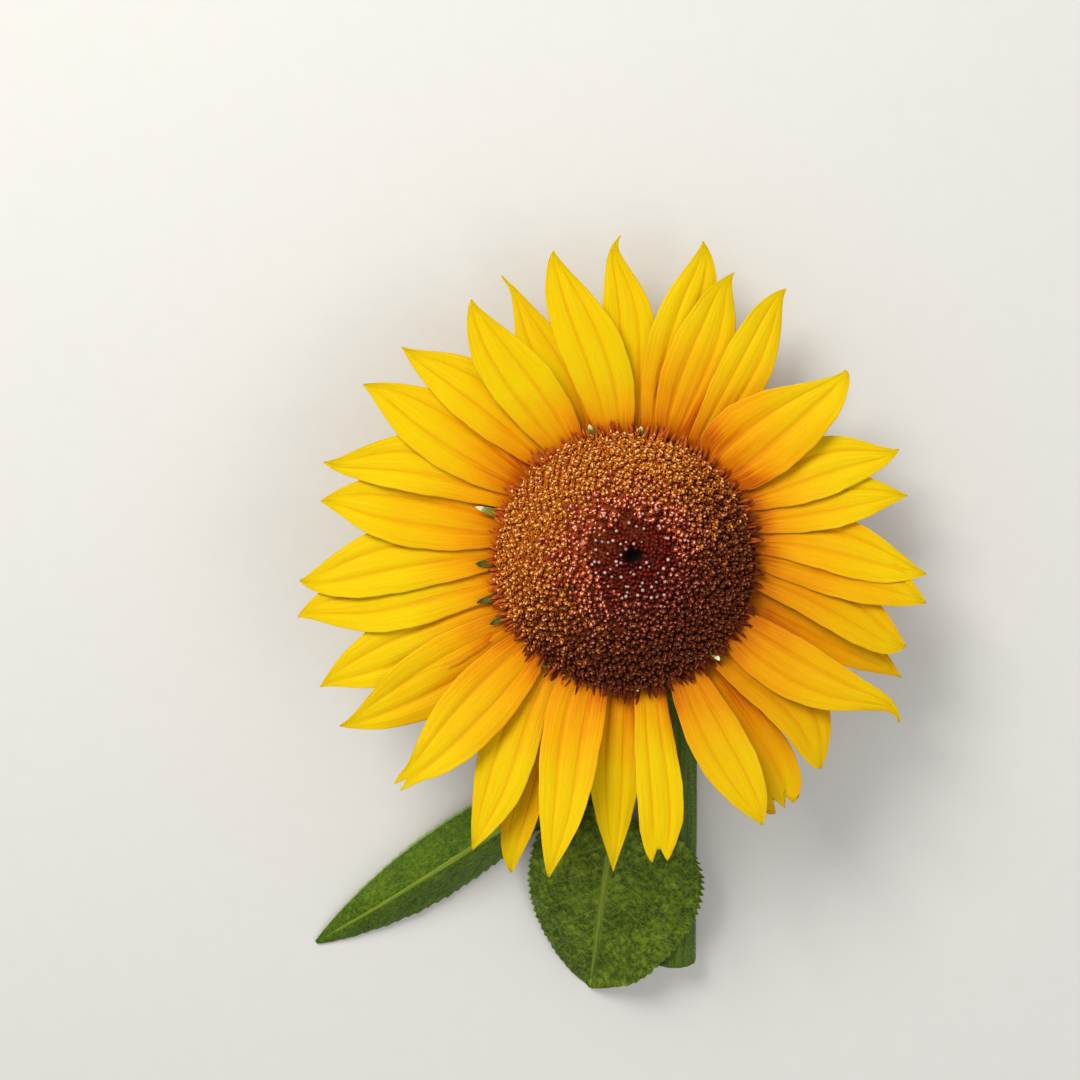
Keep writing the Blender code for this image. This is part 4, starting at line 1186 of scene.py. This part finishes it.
chaff_scales = {True: [], False: []}
for azimuth, root, length, width, rise, bleached in CHAFF:
    share, side = sheet_grid(12, 7)
    out_way, cross_way = np.array(heading(azimuth)), np.array(heading(azimuth + 90))
    rise = math.radians(rise)
    run = root + out_way[:2] @ np.array(DISC_SHIFT) + length * share * math.cos(rise)
    half = width / 2 * (1 - share**2) ** 0.8 + CHAFF_TIP_WIDTH
    height = DISC_RIM_HEIGHT - CHAFF_ROOT_SINK + length * share * math.sin(rise)
    height = height + CHAFF_CUP * half * np.abs(side)
    scale_points = out_way * run[..., None] + cross_way * (half * side)[..., None]
    scale_points[..., 2] = height
    chaff_scales[bleached].append(mesh_from("chaff", in_world(scale_points), ((side + 1) / 2, share)))
for bleached, name, *tints in (
    (True, "chaff_pale", (0.24, 0.22, 0.02), (0.20, 0.26, 0.03), (0.80, 0.82, 0.50)),
    (False, "chaff_green", (0.16, 0.10, 0.015), (0.10, 0.11, 0.014), (0.045, 0.055, 0.010)),
):
    chaff_mesh = join_meshes(name, chaff_scales[bleached])
    add_piece(name, chaff_mesh, chaff_green(name, *tints), "disc", "disc", thickness=CHAFF_THICKNESS)

# the low wall of green pales that stands between the petals' feet and the outermost florets
pale_draw = np.random.default_rng(37)
pale_columns = PALES * PALE_COLUMNS
share, turned = np.meshgrid(np.linspace(0.0, 1.0, 7), np.arange(pale_columns) / pale_columns, indexing="ij")
within = (turned * PALES) % 1.0
tall = pale_draw.uniform(0.72, 1.0, PALES)[(turned * PALES).astype(int)]
top = PALE_HEIGHT * tall * (1 - 0.45 * np.abs(2 * within - 1) ** 1.5)
pale_out = PALE_FOOT_RADIUS + PALE_FLARE * share**3 + PALE_BULGE * np.cos(2 * math.pi * within)
pale_points = ring_points(pale_out, turned * 2 * math.pi, GAP + (top - GAP) * share)
pale_green = chaff_green("chaff_ring", (0.24, 0.22, 0.02), (0.20, 0.26, 0.03), (0.10, 0.13, 0.02))
pale_mesh = mesh_from("chaff_ring", in_world(pale_points[::-1]), (turned, share[::-1]), wrap=True)
add_piece("chaff_ring", pale_mesh, pale_green, "disc", "disc", thickness=CHAFF_THICKNESS)

# ---------------------------------------------------------------- leaves
# The two upper leaves on their petioles. The long one lies folded like a tent beside the stem, and the broad
# one drapes over it. Each is a thin toothed blade, quilted between sunken veins, with a round petiole that
# runs on under the blade as its midrib.

LEAF_THICKNESS = 0.0006
LEAF_ROWS = 170
LEAF_COLUMNS = 64
LEAF_LOWEST = 0.0014
LEAF_UNDERSIDE = 0.0009
LEAF_TEETH = 30
LEAF_TOOTH = 0.055
LEAF_QUILT = 0.0011
LEAF_SINK = 0.0006
LEAF_RIPPLE = 0.0006
LEAF_TIP_WIDTH = 0.0006
PETIOLE_RADIUS = 0.0030
PETIOLE_SIDES = 20
PETIOLE_STEPS = 60
VEIN_TIP_RADIUS = 0.0008
MIDRIB_REACH = 0.93
VEIN_PERIOD = 0.125
DRAPE_LEVEL = 1.7
DRAPE_SLOPE = 0.9
DRAPE_CLEARANCE = 0.0015
SOLID_LEAF_THICKNESS = 0.0016
LEAF_TURN = 6
LEAF_STEEPEST = 1.7
LEAVES = {
    "leaf_left": dict(
        from_cut=0.121, heading_at_root=196.0, heading=216.5, petiole=0.034, blade=0.176,
        width=0.035, skew=0.20, base=0.70, lobe=0.02, crest=0.025, fall=0.95,
    ),
    "leaf_front": dict(
        from_cut=0.100, heading_at_root=196.0, heading=265.0, petiole=0.030, blade=0.098,
        width=0.090, skew=0.14, base=0.45, lobe=0.10, crest=0.027, fall=0.80,
    ),
}


def leaf_half_width(share, base):
    """Half width as a share of the greatest."""
    tip = 0.82
    peak = base / (base + tip)
    return (share / peak) ** base * ((1 - share) / (1 - peak)) ** tip


def petiole_root(form):
    """Where a leaf's petiole leaves the stem's side."""
    run = STEM_LENGTH - form["from_cut"]
    index = min(int(run / STEM_STEP), len(stem_points) - 2)
    centre = stem_points[index].lerp(stem_points[index + 1], run / STEM_STEP - index)
    line = (stem_points[index + 1] - stem_points[index]).normalized()
    out = heading(form["heading_at_root"])
    side = (out - line * out.dot(line)).normalized()
    clear = stem_radius(run) + GAP + 1.9 * PETIOLE_RADIUS * abs(out.dot(line))
    return centre + side * clear + Vector((0.0, 0.0, 0.15 * stem_radius(run)))


def leaf_line(form, distance):
    """The leaf's centre line and heading at these distances from the petiole's root."""
    whole = form["petiole"] + form["blade"]
    root = petiole_root(form)
    first, last = form["heading_at_root"], form["heading"]
    steps = 48
    track = [np.array((root.x, root.y))]
    for step in range(steps):
        turned_to = last + (first - last) * (1 - (step + 0.5) / steps) ** LEAF_TURN
        track.append(track[-1] + np.array(heading(turned_to))[:2] * whole / steps)
    share = np.clip(distance / whole, 0.0, 1.0)
    x, y = [np.interp(share * steps, np.arange(steps + 1), places) for places in np.array(track).T]
    rise = root.z * (1 - share) ** 3 + form["crest"] * np.sin(math.pi * share**0.8) ** 0.8
    place = np.stack([x, y, np.maximum(rise, LEAF_LOWEST)], axis=-1)
    return place, last + (first - last) * (1 - share) ** LEAF_TURN


def over_stem(x, y):
    """The least height that keeps a blade clear of the stem at these places."""
    cover = np.zeros_like(x)
    knots, widths = smooth_line(stem_points, stem_radii, 0.004)
    for knot, radius in zip(knots, widths):
        beside = np.maximum(0.0, np.abs(knot[0] - x) - DRAPE_LEVEL * radius)
        top = 2 * radius + DRAPE_CLEARANCE + SOLID_LEAF_THICKNESS / 2
        near = np.abs(knot[1] - y) < 2 * STEM_STEP
        cover = np.where(near, np.maximum(cover, top - DRAPE_SLOPE * beside), cover)
    return cover


def blade_points(form, share, side, relief=True):
    """A blade's points: its sides fall from the midrib towards the ground, or lie over the stem."""
    blade = form["blade"]
    away = np.abs(side)
    tooth = 1 - LEAF_TOOTH * (1 - (share * LEAF_TEETH) % 1.0) * away**12 * (share < 0.985)
    half = form["width"] / 2 * leaf_half_width(np.clip(share, 0.012, 1.0), form["base"])
    half = (half * tooth + LEAF_TIP_WIDTH) * (1 + form["skew"] * side)
    centre, azimuth = leaf_line(form, form["petiole"] + blade * share)
    turn = np.radians(azimuth)
    back = form["lobe"] * blade * (1 - share) ** 3 * away**1.5
    x = centre[..., 0] + np.cos(turn + math.pi / 2) * half * side - np.cos(turn) * back
    y = centre[..., 1] + np.sin(turn + math.pi / 2) * half * side - np.sin(turn) * back
    wave = 0.10 * np.sin(share * 9.0 + side * 1.5) * side**2
    height = LEAF_LOWEST + (centre[..., 2] - LEAF_LOWEST) * (1 - form["fall"] * away**1.5 + wave)
    # near its base the blade is narrow, so it hangs from the midrib without reaching the ground
    height = np.maximum(height, centre[..., 2] - LEAF_STEEPEST * half * away)
    height = np.maximum(np.maximum(height, LEAF_LOWEST), over_stem(x, y))
    vein = vein_share(share, side)
    if relief:
        soft = np.clip(half / 0.02, 0.2, 1.0)
        height = height + (LEAF_QUILT * (1 - vein) ** 1.5 - LEAF_SINK) * soft * (1 - away**8)
        height = height + LEAF_RIPPLE * np.sin(share * 60.0 + side * 4.0) * away**6 * soft
        height = np.maximum(height, LEAF_UNDERSIDE)
    return np.stack([x, y, height], axis=-1), vein


def vein_share(share, side):
    """1 on a vein and 0 between veins: the midrib and the side veins that run forward from it."""
    away = np.abs(side)
    forward = share - 0.30 * away**0.85
    phase = (forward / VEIN_PERIOD + np.where(side > 0, 0.0, 0.45)) % 1.0
    gap = np.minimum(phase, 1 - phase) * VEIN_PERIOD
    thick = 0.0062 * (1.15 - 0.7 * away)
    branch = hump(gap, thick) * (forward > 0.0) * (away < 0.97)
    fine_phase = (away * 7.0 + forward * 6.0 + 0.25 * np.sin(forward * 50.0)) % 1.0
    fine = hump(np.minimum(fine_phase, 1 - fine_phase), 0.10) * 0.35 * (away > 0.08)
    midrib = hump(away, 0.045 + 0.02 * share)
    return np.clip(np.maximum(np.maximum(midrib, branch), fine), 0.0, 1.0)


def leaf_green(name, dark, mid, light, vein_tint, grain, margin_width):
    leaf = Finish(name, 0.5, Specular_IOR_Level=0.12, Subsurface_Weight=0.05, Subsurface_Scale=0.001)
    blotches = leaf.grain(grain, 6.0, 0.66)
    specks = leaf.grain(340.0, 3.0, 0.6)
    net, quilt = leaf.cells(380.0), leaf.cells(170.0)
    green = leaf.ramp(blotches, (0.30, dark), (0.52, mid), (0.76, light))
    for second, *share in (
        (light, specks, 0.5, 0.70, 0.0, 0.60),
        (dark, specks, 0.5, 0.32, 0.0, 0.60),
        # painted shade: darker along the sunken network between the quilted bulges
        (dark, quilt, 0.0, 0.30, 0.50, 0.0),
        (vein_tint, net, 0.0, 0.10, 0.30, 0.0),
        (vein_tint, leaf.kept("vein"), 0.35, 1.0, 0.0, 0.75),
        # a paler strip along one margin: partly the leaf's paler underside turned up at the edge, partly a
        # painted highlight where that edge faces the light
        ((0.30, 0.42, 0.12), leaf.share("X"), margin_width, margin_width / 2, 0.0, 0.85),
    ):
        green = leaf.tint(green, second, *share)
    return leaf.finished(green, (specks, 0.40, 0.62), (quilt, 0.0010), (net, 0.0004), (specks, 0.0003))


def petiole_mesh(name, form):
    """The round petiole, running on under the blade as its midrib."""
    points = []
    share = np.linspace(0.0, 1.0, PETIOLE_STEPS + 1)
    radii = PETIOLE_RADIUS + (VEIN_TIP_RADIUS - PETIOLE_RADIUS) * share**0.7
    for distance, radius in zip((form["petiole"] + form["blade"] * MIDRIB_REACH) * share, radii):
        point = leaf_line(form, distance)[0]
        if distance > form["petiole"]:
            on_blade = (distance - form["petiole"]) / form["blade"]
            point = blade_points(form, np.array([on_blade]), np.array([0.0]), relief=False)[0][0]
            point[2] -= 0.62 * radius * min(1.0, on_blade / 0.06)
        point[2] = max(point[2], radius + GAP)
        points.append(point)
    line = np.array(points)
    line[1:-1] = (line[:-2] + 2 * line[1:-1] + line[2:]) / 4
    turn = full_turn(PETIOLE_SIDES)[None, :]
    wide = radii[:, None] * (1 - 0.10 * hump(turn - math.pi / 2, 0.5))
    wide[0] *= 1.25
    points = tube_points(line, (0.0, 0.0, 1.0), turn, wide)
    return closed_mesh(name, points, (turn / (2 * math.pi), share[:, None]))


leaf_finishes = {
    "leaf_left": leaf_green(
        "long leaf green",
        (0.028, 0.065, 0.001), (0.062, 0.128, 0.002), (0.125, 0.21, 0.005), (0.19, 0.27, 0.025),
        60.0, 0.045,
    ),
    "leaf_front": leaf_green(
        "broad leaf green",
        (0.018, 0.044, 0.001), (0.088, 0.146, 0.004), (0.26, 0.37, 0.025), (0.26, 0.34, 0.04),
        70.0, 0.012,
    ),
}


def petiole_green():
    stalk = Finish("petiole green", 0.5, Subsurface_Scale=0.001, **FLESHY)
    streaks = stalk.streaks(14.0, 9.0, 4.0, 0.6)
    green = stalk.ramp(
        streaks, (0.30, (0.12, 0.18, 0.010)), (0.55, (0.19, 0.26, 0.022)), (0.75, (0.27, 0.33, 0.05))
    )
    return stalk.finished(green, (streaks, 0.42, 0.58), (streaks, 0.0003), (stalk.grain(700.0), 0.0001))


petiole_finish = petiole_green()
for name, form in LEAVES.items():
    share, side = sheet_grid(LEAF_ROWS, LEAF_COLUMNS + 1)
    points, vein = blade_points(form, share, side)
    leaf_mesh = mesh_from(f"{name}_blade", points, ((side + 1) / 2, share))
    keep(leaf_mesh, "vein", vein)
    keep(leaf_mesh, "hairy", 0.4 + 2.0 * (np.abs(side) > 0.93))
    add_with_hairs(
        f"{name}_blade", leaf_mesh, leaf_finishes[name], "leaf", name, hair_name=f"{name}_hairs",
        thickness=LEAF_THICKNESS, Density=400000.0, Length=0.0010, Thickness=0.00006, Lean=0.7, Lowest=0.0012,
        Seed=17,
    )
    stalk_name = f"{name}_petiole"
    add_piece(stalk_name, petiole_mesh(stalk_name, form), petiole_finish, "leaf", name)

# ---------------------------------------------------------------- table, light and view
# A plain pale table top, one large soft light from the flower's upper left, a weak one from its lower right
# and an even pale sky. The camera looks squarely into the bloom.

floor_mesh = bpy.data.meshes.new("table_top")
floor_mesh.from_pydata([(-40, -40, 0), (40, -40, 0), (40, 40, 0), (-40, 40, 0)], [], [(0, 1, 2, 3)])
table_paint = Finish("pale table", 0.75)
paper = table_paint.grain(90.0, 4.0)
table_tone = table_paint.ramp(paper, (0.3, (0.69, 0.69, 0.675)), (0.7, (0.70, 0.70, 0.685)))
table_top = show("table_top", floor_mesh, table_paint.finished(table_tone, None, (paper, 0.00004)))
table_top.location.z = -0.0002


def soft_light(name, place, size, power, colour):
    lamp = bpy.data.lights.new(name, "AREA")
    lamp.shape = "DISK"
    lamp.size = size
    lamp.energy = power
    lamp.color = colour
    holder = bpy.data.objects.new(name, lamp)
    bpy.context.scene.collection.objects.link(holder)
    spot = HEAD @ Vector(place)
    holder.location = spot
    holder.rotation_euler = (HEAD_AT - spot).to_track_quat("-Z", "Y").to_euler()


soft_light("key light", (-0.75, 0.85, 1.50), 0.9, 29.0, (1.0, 0.965, 0.90))
soft_light("fill light", (1.1, -0.9, 1.3), 1.2, 6.0, (0.98, 0.98, 1.0))
sky = bpy.data.worlds.new("pale sky")
bpy.context.scene.world = sky
sky.use_nodes = True
glow = sky.node_tree.nodes["Background"].inputs
glow["Color"].default_value = (1.0, 0.975, 0.945, 1.0)
glow["Strength"].default_value = 0.54
bpy.context.scene.view_settings.view_transform = "Standard"

VIEW_DISTANCE = 1.0
VIEW_SHIFT = (-0.0442, 0.0077)
lens = bpy.data.cameras.new("view")
lens.sensor_width = 36.0
lens.lens = 69.44
camera = bpy.data.objects.new("view", lens)
bpy.context.scene.collection.objects.link(camera)
camera.matrix_world = HEAD @ Matrix.Translation((*VIEW_SHIFT, VIEW_DISTANCE))
bpy.context.scene.camera = camera
